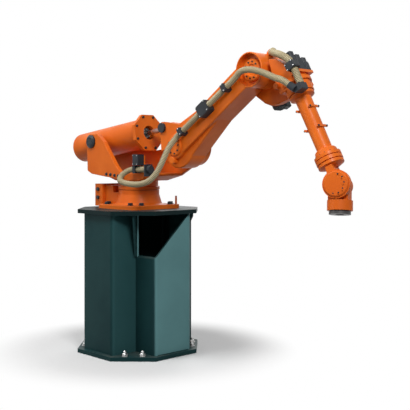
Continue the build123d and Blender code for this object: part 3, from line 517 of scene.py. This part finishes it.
def makeSocketHead():
    clearSelection()
    bpy.ops.mesh.primitive_cylinder_add(vertices=12, radius=1.0, depth=1.1, location=(0, 0, 0.55))
    head = bpy.context.object
    selectFaces(head, lambda face: face.normal.z > 0.9)
    bpy.ops.mesh.bevel(offset=0.14, segments=1)
    bpy.ops.object.mode_set(mode="OBJECT")
    selectFaces(head, lambda face: face.normal.z > 0.9 and face.center.xy.length < 0.2)
    bpy.ops.mesh.inset(thickness=0.34)
    bpy.ops.mesh.extrude_region_move(TRANSFORM_OT_translate={"value": (0, 0, -0.55)})
    bpy.ops.object.mode_set(mode="OBJECT")
    return head


def makeHexHead():
    clearSelection()
    bpy.ops.mesh.primitive_cylinder_add(vertices=24, radius=1.35, depth=0.2, location=(0, 0, 0.1))
    washer = bpy.context.object
    bpy.ops.mesh.primitive_cylinder_add(vertices=6, radius=1.1, depth=0.8, location=(0, 0, 0.6))
    head = bpy.context.object
    selectFaces(head, lambda face: face.normal.z > 0.9)
    bpy.ops.mesh.inset(thickness=0.12)
    bpy.ops.transform.translate(value=(0, 0, 0.1))
    bpy.ops.object.mode_set(mode="OBJECT")
    clearSelection()
    washer.select_set(True)
    head.select_set(True)
    bpy.context.view_layer.objects.active = head
    bpy.ops.object.join()
    useOnly(head)
    bpy.ops.object.transform_apply(location=True, rotation=True, scale=True)
    return head


socketHead = makeSocketHead()
useOnly(socketHead)
bpy.ops.object.transform_apply(location=True, rotation=True, scale=True)
hexHead = makeHexHead()


def placeHeads(name, template, radius, spots, body, slotName="black_parts"):
    copies = []
    for place, out in spots:
        copy = template.copy()
        copy.data = template.data.copy()
        turn = Vector(out).to_track_quat("Z", "Y").to_matrix().to_4x4()
        copy.data.transform(Matrix.Translation(place) @ turn @ Matrix.Diagonal((radius, radius, radius, 1)))
        scene.collection.objects.link(copy)
        copies.append(copy)
    clearSelection()
    for copy in copies:
        copy.select_set(True)
    bpy.context.view_layer.objects.active = copies[0]
    if len(copies) > 1:
        bpy.ops.object.join()
    group = bpy.context.object
    bpy.ops.object.shade_smooth_by_angle(angle=math.radians(35))
    settle(group, name, finishes[slotName])
    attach(group, body)
    print(name, len(copies), "heads")
    return group


def ringSpots(centre, axis, radius, count, startAngle=0.0):
    # spots on a circle round an axis, heads pointing along it
    axis = Vector(axis).normalized()
    first = axis.orthogonal().normalized() if abs(axis.y) < 0.9 else Vector((1, 0, 0))
    second = axis.cross(first)
    spots = []
    for index in range(count):
        angle = math.radians(startAngle) + 2 * math.pi * index / count
        spots.append((centre + (first * math.cos(angle) + second * math.sin(angle)) * radius, axis))
    return spots


def plateSpots(far, near, top):
    # eight places round a square plate, two at each corner, heads pointing up
    spots = []
    for x, y in ((far, near), (near, far)):
        for signX in (-1, 1):
            for signY in (-1, 1):
                spots.append((Vector((signX * x, signY * y, top)), (0, 0, 1)))
    return spots


flangeSet = {"far": 0.240, "near": 0.170, "top": 1.338, "radius": 0.021}
flangeSpots = plateSpots(flangeSet["far"], flangeSet["near"], flangeSet["top"])
placeHeads("flangeBolts", hexHead, flangeSet["radius"], flangeSpots, "base")

coverSet = {
    "shoulderCoverScrews": {"node": "shoulder_cover", "side": 0, "centre": shoulderAt, "out": sideOut, "circle": 0.062,
                            "count": 8, "turn": 12, "screw": 0.0075, "body": "lower_arm"},
    "elbowCoverScrews": {"node": "elbow_cover", "side": 0, "centre": elbowAt, "out": sideOut, "circle": 0.067,
                         "count": 10, "turn": 8, "screw": 0.0065, "body": "lower_arm"},
    "shoulderDriveScrews": {"node": "shoulder_drive", "side": 1, "centre": shoulderAt, "out": sideIn, "circle": 0.078,
                            "count": 10, "turn": 0, "screw": 0.0085, "body": "turret"},
    "elbowDriveScrews": {"node": "elbow_drive", "side": 1, "centre": elbowAt, "out": sideIn, "circle": 0.066,
                         "count": 10, "turn": 0, "screw": 0.0075, "body": "forearm"},
}
for coverName, row in coverSet.items():
    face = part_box(row["node"])[row["side"]][1]
    coverSpots = ringSpots(row["centre"] + sideIn * face, row["out"], row["circle"], row["count"], row["turn"])
    placeHeads(coverName, socketHead, row["screw"], coverSpots, row["body"])

wristSet = {"nearFace": 0.106, "nearCircle": 0.076, "farFace": 0.079, "farCircle": 0.048,
            "ringFace": 0.915, "ringCircle": 0.098, "nearCount": 10, "farCount": 6, "ringCount": 14, "turn": 10,
            "screw": 0.0055, "ringScrew": 0.0048}
wristSpots = ringSpots(wristAt + bendAxis * wristSet["nearFace"], bendAxis, wristSet["nearCircle"],
                       wristSet["nearCount"], wristSet["turn"])
wristSpots += ringSpots(wristAt - bendAxis * wristSet["farFace"], -bendAxis, wristSet["farCircle"],
                        wristSet["farCount"], wristSet["turn"])
placeHeads("wristCoverScrews", socketHead, wristSet["screw"], wristSpots, "forearm_tube")
ringFaceSpots = ringSpots(rollAt + rollAxis * wristSet["ringFace"], -rollAxis, wristSet["ringCircle"],
                          wristSet["ringCount"])
placeHeads("frontRingScrews", socketHead, wristSet["ringScrew"], ringFaceSpots, "forearm_tube")

balancerSet = {"trunnion": Vector((-0.403, -0.030, 1.920)), "discFace": 0.589, "discCircle": 0.152,
               "discCorners": 8, "discTurn": 22.5, "discScrew": 0.0115}
discCentre = balancerSet["trunnion"] + balancerAxis * balancerSet["discFace"]
discUp = balancerAxis.cross(sideIn)
discSpots = []
for index in range(balancerSet["discCorners"]):
    angle = math.radians(balancerSet["discTurn"] + 360 * index / balancerSet["discCorners"])
    outwards = sideIn * math.cos(angle) + discUp * math.sin(angle)
    discSpots.append((discCentre + outwards * balancerSet["discCircle"], balancerAxis))
placeHeads("discScrews", socketHead, balancerSet["discScrew"], discSpots, "balancer_barrel")

capSet = {"centre": Vector((-0.403, 0, 1.920)), "circle": 0.034, "count": 6, "screw": 0.0045}
capSpots = []
for face, out in zip(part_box("trunnion_caps"), (sideOut, sideIn)):
    capSpots += ringSpots(capSet["centre"] + sideIn * face[1], out, capSet["circle"], capSet["count"])
placeHeads("trunnionScrews", socketHead, capSet["screw"], capSpots, "turret")

bracketSet = {"spots": ((-0.165, 1.616), (-0.105, 1.612), (-0.045, 1.606), (0.010, 1.602)), "radius": 0.011}
bracketSpots = [((x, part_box("balancer_bracket_right")[0][1], z), sideOut) for x, z in bracketSet["spots"]]
bracketSpots += [((x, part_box("balancer_bracket_left")[1][1], z), sideIn) for x, z in bracketSet["spots"]]
placeHeads("bracketBolts", hexHead, bracketSet["radius"], bracketSpots, "turret")

boxLow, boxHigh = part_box("junction_box")
junctionSet = {"inset": 0.011, "screw": 0.0042}
boxSpots = [((x, boxLow[1], z), sideOut)
            for x in (boxLow[0] + junctionSet["inset"], boxHigh[0] - junctionSet["inset"])
            for z in (boxLow[2] + junctionSet["inset"], boxHigh[2] - junctionSet["inset"])]
placeHeads("junctionScrews", socketHead, junctionSet["screw"], boxSpots, "turret", "bright_steel")

clampSet = {"inset": 0.028, "side": 0.0265, "boxAt": 0.358, "boxAlong": 0.050, "boxSide": 0.042, "screw": 0.0055}
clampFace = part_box("arm_hose_clamps")[0][1] - hoseY
clampAcross = armRun.cross(sideOut)
clampSpots = []
for centre in (armStart + armRun * clampSet["inset"], armEnd - armRun * clampSet["inset"]):
    for side in (-clampSet["side"], clampSet["side"]):
        clampSpots.append((centre + clampAcross * side + sideIn * clampFace, sideOut))
boxCentre = armStart + armRun * clampSet["boxAt"]
for along in (-clampSet["boxAlong"], clampSet["boxAlong"]):
    for side in (-clampSet["boxSide"], clampSet["boxSide"]):
        clampSpots.append((boxCentre + armRun * along + clampAcross * side + sideIn * clampFace, sideOut))
placeHeads("armClampScrews", socketHead, clampSet["screw"], clampSpots, "lower_arm", "bright_steel")

topClampSet = {"along": 0.022, "side": 0.033, "screw": 0.005}
topClampAt = forearmPoint(0.217, 0.398, 0)
topClampWay = (rollAxis * 10 + forearmUp).normalized()
topClampAcross = topClampWay.cross(sideOut)
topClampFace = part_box("forearm_hose_clamp")[0][1]
topClampSpots = [(topClampAt + topClampWay * along + topClampAcross * side + sideIn * topClampFace, sideOut)
                 for along in (-topClampSet["along"], topClampSet["along"])
                 for side in (-topClampSet["side"], topClampSet["side"])]
placeHeads("topClampScrews", socketHead, topClampSet["screw"], topClampSpots, "forearm", "bright_steel")

connectorSet = {"insetSide": 0.018, "insetUp": 0.016, "screw": 0.005}
plugLow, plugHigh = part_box("connector_box")
plugSpots = [((plugLow[0], y, z), (-1, 0, 0))
             for y in (plugLow[1] + connectorSet["insetSide"], 0, plugHigh[1] - connectorSet["insetSide"])
             for z in (plugLow[2] + connectorSet["insetUp"], plugHigh[2] - connectorSet["insetUp"])]
placeHeads("connectorScrews", socketHead, connectorSet["screw"], plugSpots, "base", "bright_steel")


# floor anchors: nut and washer on a stud
def makeAnchor():
    clearSelection()
    bpy.ops.mesh.primitive_cylinder_add(vertices=16, radius=0.62, depth=1.9, location=(0, 0, 0.95))
    stud = bpy.context.object
    selectFaces(stud, lambda face: face.normal.z > 0.9)
    bpy.ops.mesh.inset(thickness=0.14)
    bpy.ops.transform.translate(value=(0, 0, 0.14))
    bpy.ops.object.mode_set(mode="OBJECT")
    nut = hexHead.copy()
    nut.data = hexHead.data.copy()
    scene.collection.objects.link(nut)
    clearSelection()
    nut.select_set(True)
    stud.select_set(True)
    bpy.context.view_layer.objects.active = stud
    bpy.ops.object.join()
    bpy.ops.object.transform_apply(location=True, rotation=True, scale=True)
    return stud


anchorSet = {"long": 0.400, "short": 0.290, "top": 0.036, "radius": 0.024}
anchorSpots = plateSpots(anchorSet["long"], anchorSet["short"], anchorSet["top"])
anchorNut = makeAnchor()
placeHeads("anchorNuts", anchorNut, anchorSet["radius"], anchorSpots, "base", "bright_steel")
bpy.data.objects.remove(anchorNut)


# motors: cooling fins, a round rear cap with screws, and the plug's coupling ring
motorSet = {
    "shoulderMotor": {"foot": Vector((0.410, 0.150, 1.770)), "axis": sideIn, "across": Vector((1, 0, 0)),
                      "length": 0.200, "side": 0.104, "proud": 0.003, "body": "turret", "plug": True},
    "swivelMotor": {"foot": Vector((0.210, 0.209, 1.630)), "axis": Vector((0, 0, 1)), "across": Vector((1, 0, 0)),
                    "length": 0.175, "side": 0.104, "proud": 0.003, "body": "turret", "plug": True},
    "elbowMotor": {"foot": forearmPoint(0.240, -0.092, 0.150), "axis": sideIn, "across": rollAxis,
                   "length": 0.150, "side": 0.080, "proud": 0.003, "body": "forearm", "plug": True},
}
for motorName, place, motorLength in (("rollMotor", -1, 0.160), ("bendMotor", 0, 0.138), ("twistMotor", 1, 0.116)):
    motorSet[motorName] = {"foot": forearmPoint(0.235, 0.364, 0.062 * place - 0.004), "axis": -rollAxis,
                           "across": sideIn, "length": motorLength, "side": 0.060, "proud": 0.0008,
                           "body": "forearm", "plug": False}
finSet = {"thickness": 0.0032, "pitch": 0.0088, "corner": 0.013, "margin": 0.010, "bodyShare": 0.66,
          "cornerSide": 0.104}  # cornerSide: the motor side that corner is given for
trimSet = {"cap": 0.34, "screwReach": 0.36, "screw": 0.042, "plug": 0.12, "plugAlong": 0.7, "plugPast": 0.19,
           "plugOut": 0.68}  # shares of the motor's side, plugAlong of its length


def motorMatrix(row):
    upright = row["axis"].cross(row["across"])
    turn = Matrix((row["across"], upright, row["axis"])).transposed().to_4x4()
    return Matrix.Translation(row["foot"]) @ turn


def makeFins(name, row):
    # one square fin with rounded corners, repeated along the motor's body
    clearSelection()
    width = row["side"] + 2 * row["proud"]
    bpy.ops.mesh.primitive_plane_add(size=width, location=(0, 0, finSet["margin"]))
    fin = bpy.context.object
    bpy.ops.object.transform_apply(location=True, rotation=True, scale=True)
    bpy.ops.object.mode_set(mode="EDIT")
    bpy.ops.mesh.select_all(action="SELECT")
    bpy.ops.mesh.bevel(offset=finSet["corner"] * row["side"] / finSet["cornerSide"], segments=3, affect="VERTICES")
    bpy.ops.mesh.select_all(action="SELECT")
    bpy.ops.mesh.extrude_region_move(TRANSFORM_OT_translate={"value": (0, 0, finSet["thickness"])})
    bpy.ops.mesh.select_all(action="SELECT")
    bpy.ops.mesh.normals_make_consistent(inside=False)
    bpy.ops.object.mode_set(mode="OBJECT")
    room = row["length"] * finSet["bodyShare"] - 2 * finSet["margin"]
    repeat = fin.modifiers.new("repeat", "ARRAY")
    repeat.count = int(room / finSet["pitch"]) + 1
    repeat.use_relative_offset = False
    repeat.use_constant_offset = True
    repeat.constant_offset_displace = (0, 0, finSet["pitch"])
    applyModifiers(fin)
    fin.data.transform(motorMatrix(row))
    settle(fin, name, finishes["black_parts"])
    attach(fin, row["body"])
    return fin


def makeRearCap():
    # round cap with a raised rim, one unit in radius
    clearSelection()
    bpy.ops.mesh.primitive_cylinder_add(vertices=32, radius=1.0, depth=0.16, location=(0, 0, 0.08))
    cap = bpy.context.object
    bpy.ops.object.transform_apply(location=True, rotation=True, scale=True)
    selectFaces(cap, lambda face: face.normal.z > 0.9)
    bpy.ops.mesh.inset(thickness=0.06)
    bpy.ops.transform.translate(value=(0, 0, 0.05))
    bpy.ops.mesh.inset(thickness=0.18)
    bpy.ops.mesh.extrude_region_move(TRANSFORM_OT_translate={"value": (0, 0, -0.09)})
    bpy.ops.object.mode_set(mode="OBJECT")
    return cap


def makePlug():
    # coupling ring of a round plug: collar, knurled ring, smaller cap
    clearSelection()
    bpy.ops.mesh.primitive_cylinder_add(vertices=20, radius=1.0, depth=0.35, location=(0, 0, 0.175))
    plug = bpy.context.object
    bpy.ops.object.transform_apply(location=True, rotation=True, scale=True)
    for inset, rise in ((0.16, 0.10), (0.001, 0.62), (0.22, 0.08), (0.05, 0.30)):
        selectFaces(plug, lambda face: face.normal.z > 0.9 and face.center.xy.length < 0.05)
        bpy.ops.mesh.inset(thickness=inset)
        bpy.ops.mesh.extrude_region_move(TRANSFORM_OT_translate={"value": (0, 0, rise)})
        bpy.ops.object.mode_set(mode="OBJECT")
    return plug


rearCap = makeRearCap()
plugRing = makePlug()
for motorName, row in motorSet.items():
    makeFins(motorName + "Fins", row)
    upright = row["axis"].cross(row["across"])
    rear = row["foot"] + row["axis"] * row["length"]
    placeHeads(motorName + "Cap", rearCap, row["side"] * trimSet["cap"], [(rear, row["axis"])], row["body"])
    reach = row["side"] * trimSet["screwReach"]
    screwSpots = [(rear + (row["across"] * a + upright * b) * reach, row["axis"]) for a in (-1, 1) for b in (-1, 1)]
    placeHeads(motorName + "Screws", socketHead, row["side"] * trimSet["screw"], screwSpots, row["body"],
               "bright_steel")
    if row["plug"]:
        plugAlong = row["length"] * trimSet["plugAlong"] + row["side"] * trimSet["plugPast"]
        boxMiddle = row["foot"] + row["axis"] * plugAlong
        placeHeads(motorName + "Plug", plugRing, row["side"] * trimSet["plug"],
                   [(boxMiddle + upright * row["side"] * trimSet["plugOut"], upright)], row["body"])
bpy.data.objects.remove(rearCap)
bpy.data.objects.remove(plugRing)
print("motors dressed:", len(motorSet))


# clamp bars across the tube, above and below it, at two stations
barSet = {"upper": (0.526, 0.696), "lower": (0.504, 0.674), "tube": 0.063, "length": 0.118, "width": 0.018,
          "thickness": 0.013, "ear": 0.020, "earThickness": 0.007, "screwRadius": 0.0075, "screwAt": 0.049,
          "sunk": 0.004, "softEdge": 0.0018}


def barPoint(station, out, along, proud):
    rise = barSet["tube"] - barSet["sunk"] + proud
    return rollAt + rollAxis * station + out * rise + sideIn * along


def makeBar(name, station, out):
    # clamp bar laid across the tube, thinner at its two ears
    clearSelection()
    bpy.ops.mesh.primitive_cube_add(size=1.0, location=(0, 0, 0.5))
    bar = bpy.context.object
    bpy.ops.transform.resize(value=(barSet["width"], barSet["length"] - 2 * barSet["ear"], barSet["thickness"]),
                             center_override=(0, 0, 0))
    bpy.ops.object.transform_apply(location=True, rotation=True, scale=True)
    bpy.ops.object.mode_set(mode="EDIT")
    bpy.ops.mesh.select_all(action="SELECT")
    bpy.ops.mesh.bisect(plane_co=(0, 0, barSet["earThickness"]), plane_no=(0, 0, 1))
    bpy.ops.object.mode_set(mode="OBJECT")
    for side in (-1, 1):
        selectFaces(bar, lambda face: face.normal.y * side > 0.9 and face.center.z < barSet["earThickness"])
        bpy.ops.mesh.extrude_region_move(TRANSFORM_OT_translate={"value": (0, side * barSet["ear"], 0)})
        bpy.ops.object.mode_set(mode="OBJECT")
    soft = bar.modifiers.new("soft", "BEVEL")
    soft.width = barSet["softEdge"]
    soft.segments = 2
    applyModifiers(bar)
    turn = Matrix((sideIn.cross(out), sideIn, out)).transposed().to_4x4()
    bar.data.transform(Matrix.Translation(barPoint(station, out, 0.0, 0.0)) @ turn)
    settle(bar, name, finishes["orange_paint"])
    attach(bar, "forearm_tube")


barScrewSpots = []
for letter, stations, out in (("A", barSet["upper"], forearmUp), ("B", barSet["lower"], -forearmUp)):
    for number, station in enumerate(stations):
        makeBar("tubeBar" + letter + str(number), station, out)
        for side in (-1, 1):
            head = barPoint(station, out, side * barSet["screwAt"], barSet["earThickness"])
            barScrewSpots.append((head, out))
placeHeads("tubeBarScrews", socketHead, barSet["screwRadius"], barScrewSpots, "forearm_tube")
print("tube bars placed")


# gland round the rod in the balancer's mouth
glandSet = {"seat": 0.521, "outer": 0.050, "inner": 0.0225, "depth": 0.026, "lip": 0.004,
            "screwCircle": 0.037, "screwCount": 8, "screw": 0.0035}
clearSelection()
bpy.ops.mesh.primitive_cylinder_add(vertices=40, radius=glandSet["outer"], depth=glandSet["depth"],
                                    location=(0, 0, glandSet["depth"] / 2))
gland = bpy.context.object
bpy.ops.object.transform_apply(location=True, rotation=True, scale=True)
selectFaces(gland, lambda face: face.normal.z > 0.9)
bpy.ops.mesh.inset(thickness=glandSet["lip"])
bpy.ops.transform.translate(value=(0, 0, glandSet["lip"]))
bpy.ops.mesh.inset(thickness=glandSet["outer"] - glandSet["inner"] - glandSet["lip"])
bpy.ops.mesh.extrude_region_move(TRANSFORM_OT_translate={"value": (0, 0, -glandSet["depth"])})
bpy.ops.object.mode_set(mode="OBJECT")
bpy.ops.object.shade_smooth_by_angle(angle=math.radians(35))
glandTurn = balancerAxis.to_track_quat("Z", "Y").to_matrix().to_4x4()
gland.data.transform(Matrix.Translation(balancerSet["trunnion"] + balancerAxis * glandSet["seat"]) @ glandTurn)
settle(gland, "balancerGland", finishes["dark_steel"])
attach(gland, "balancer_barrel")
glandFace = glandSet["seat"] + glandSet["depth"] + glandSet["lip"]
glandSpots = ringSpots(balancerSet["trunnion"] + balancerAxis * glandFace, balancerAxis,
                       glandSet["screwCircle"], glandSet["screwCount"])
placeHeads("glandScrews", socketHead, glandSet["screw"], glandSpots, "balancer_barrel", "bright_steel")


# weld beads: one ripple, repeated along each seam of the pedestal
weldSet = {"pitch": 0.0065, "size": 0.0055, "reach": 0.480, "half": 0.180, "low": 0.036, "high": 1.264}


def makeWeld(name, runs):
    beads = []
    for start, end in runs:
        clearSelection()
        bpy.ops.mesh.primitive_uv_sphere_add(segments=8, ring_count=5, radius=weldSet["size"], location=(0, 0, 0))
        bead = bpy.context.object
        bpy.ops.transform.resize(value=(1.0, 1.0, 0.8))
        bpy.ops.object.transform_apply(location=True, rotation=True, scale=True)
        span = Vector(end) - Vector(start)
        repeat = bead.modifiers.new("ripples", "ARRAY")
        repeat.count = int(span.length / weldSet["pitch"])
        repeat.use_relative_offset = False
        repeat.use_constant_offset = True
        repeat.constant_offset_displace = (0, 0, weldSet["pitch"])
        applyModifiers(bead)
        turn = span.to_track_quat("Z", "Y").to_matrix().to_4x4()
        bead.data.transform(Matrix.Translation(start) @ turn)
        beads.append(bead)
    clearSelection()
    for bead in beads:
        bead.select_set(True)
    bpy.context.view_layer.objects.active = beads[0]
    bpy.ops.object.join()
    weld = bpy.context.object
    bpy.ops.object.shade_smooth_by_angle(angle=math.radians(70))
    settle(weld, name, finishes["pedestal_green"])
    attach(weld, "base")
    print(name, len(weld.data.polygons), "faces")


for seamName, height in (("footWelds", weldSet["low"]), ("headWelds", weldSet["high"])):
    seams = []
    for quarter in range(4):
        turnQuarter = Matrix.Rotation(math.radians(90 * quarter), 4, "Z")
        start = turnQuarter @ Vector((weldSet["reach"], -weldSet["half"], height))
        seams.append((start, turnQuarter @ Vector((weldSet["reach"], weldSet["half"], height))))
    if seamName == "headWelds":
        seams = seams[1:]  # the front wing is cut open at its top
    makeWeld(seamName, seams)
bpy.data.objects.remove(socketHead)
bpy.data.objects.remove(hexHead)


# floor and light
floorSet = {"radius": 14.0, "clearFrom": 0.85, "clearTo": 1.5, "tone": 0.86, "bounce": 0.30}
clearSelection()
bpy.ops.mesh.primitive_circle_add(vertices=96, radius=floorSet["radius"], fill_type="NGON", location=(0, 0, 0))
floor = bpy.context.object
floor.name = "paleFloor"
floorFinish = bpy.data.materials.new("paleFloor")
floorFinish.use_nodes = True
floorTree = floorFinish.node_tree
floorShader = floorTree.nodes["Principled BSDF"]
floorShader.inputs["Base Color"].default_value = (floorSet["tone"],) * 3 + (1,)
floorShader.inputs["Roughness"].default_value = 0.7
glow = floorTree.nodes.new("ShaderNodeEmission")
distance = floorTree.nodes.new("ShaderNodeVectorMath")
distance.operation = "LENGTH"
floorTree.links.new(floorTree.nodes.new("ShaderNodeTexCoord").outputs["Object"], distance.inputs[0])
away = addRange(floorTree, distance.outputs["Value"], floorSet["clearFrom"], floorSet["clearTo"])
lightPath = floorTree.nodes.new("ShaderNodeLightPath")


def seenRays(tree, path):
    both = addMath(tree, "MAXIMUM", path.outputs["Is Camera Ray"], path.outputs["Is Glossy Ray"])
    return addMath(tree, "MAXIMUM", both, path.outputs["Is Transmission Ray"])


floorMix = floorTree.nodes.new("ShaderNodeMixShader")
floorTree.links.new(addMath(floorTree, "MULTIPLY", away, seenRays(floorTree, lightPath)), floorMix.inputs[0])
floorTree.links.new(floorShader.outputs[0], floorMix.inputs[1])
floorTree.links.new(glow.outputs[0], floorMix.inputs[2])
dimFloor = floorTree.nodes.new("ShaderNodeBsdfDiffuse")  # keeps undersides from filling with bounced light
dimFloor.inputs["Color"].default_value = (floorSet["bounce"],) * 3 + (1,)
bounceMix = floorTree.nodes.new("ShaderNodeMixShader")
floorTree.links.new(lightPath.outputs["Is Diffuse Ray"], bounceMix.inputs[0])
floorTree.links.new(floorMix.outputs[0], bounceMix.inputs[1])
floorTree.links.new(dimFloor.outputs[0], bounceMix.inputs[2])
floorTree.links.new(bounceMix.outputs[0], floorTree.nodes["Material Output"].inputs["Surface"])
floor.data.materials.append(floorFinish)

studioSet = {"skyLight": 0.14, "backdrop": 1.0}
world = bpy.data.worlds.new("studio")
scene.world = world
world.use_nodes = True
worldTree = world.node_tree
skyLight = worldTree.nodes["Background"]
skyLight.inputs["Color"].default_value = (1, 1, 1, 1)
skyLight.inputs["Strength"].default_value = studioSet["skyLight"]
whiteBack = worldTree.nodes.new("ShaderNodeBackground")
whiteBack.inputs["Color"].default_value = (1, 1, 1, 1)
whiteBack.inputs["Strength"].default_value = studioSet["backdrop"]
worldMix = worldTree.nodes.new("ShaderNodeMixShader")
worldPath = worldTree.nodes.new("ShaderNodeLightPath")
worldTree.links.new(seenRays(worldTree, worldPath), worldMix.inputs[0])
worldTree.links.new(skyLight.outputs[0], worldMix.inputs[1])
worldTree.links.new(whiteBack.outputs[0], worldMix.inputs[2])
worldTree.links.new(worldMix.outputs[0], worldTree.nodes["World Output"].inputs["Surface"])

lampSet = (
    {"name": "keyLamp", "place": (5.0, -2.6, 4.8), "aim": (0.7, 0, 1.6), "size": 1.6, "energy": 205},
    {"name": "topLamp", "place": (-0.6, -2.4, 5.6), "aim": (0.4, 0, 1.6), "size": 2.0, "energy": 150},
    {"name": "sideLamp", "place": (-1.5, -5.5, 3.4), "aim": (0.5, 0, 1.5), "size": 3.0, "energy": 45},
    {"name": "backLamp", "place": (-3.0, 5.0, 4.2), "aim": (0.3, 0, 1.6), "size": 3.0, "energy": 80},
)
for lampRow in lampSet:
    lampData = bpy.data.lights.new(lampRow["name"], "AREA")
    lampData.size = lampRow["size"]
    lampData.energy = lampRow["energy"]
    lamp = bpy.data.objects.new(lampRow["name"], lampData)
    lamp.location = lampRow["place"]
    lamp.rotation_euler = (Vector(lampRow["aim"]) - Vector(lampRow["place"])).to_track_quat("-Z", "Y").to_euler()
    scene.collection.objects.link(lamp)
print("floor and lamps placed")
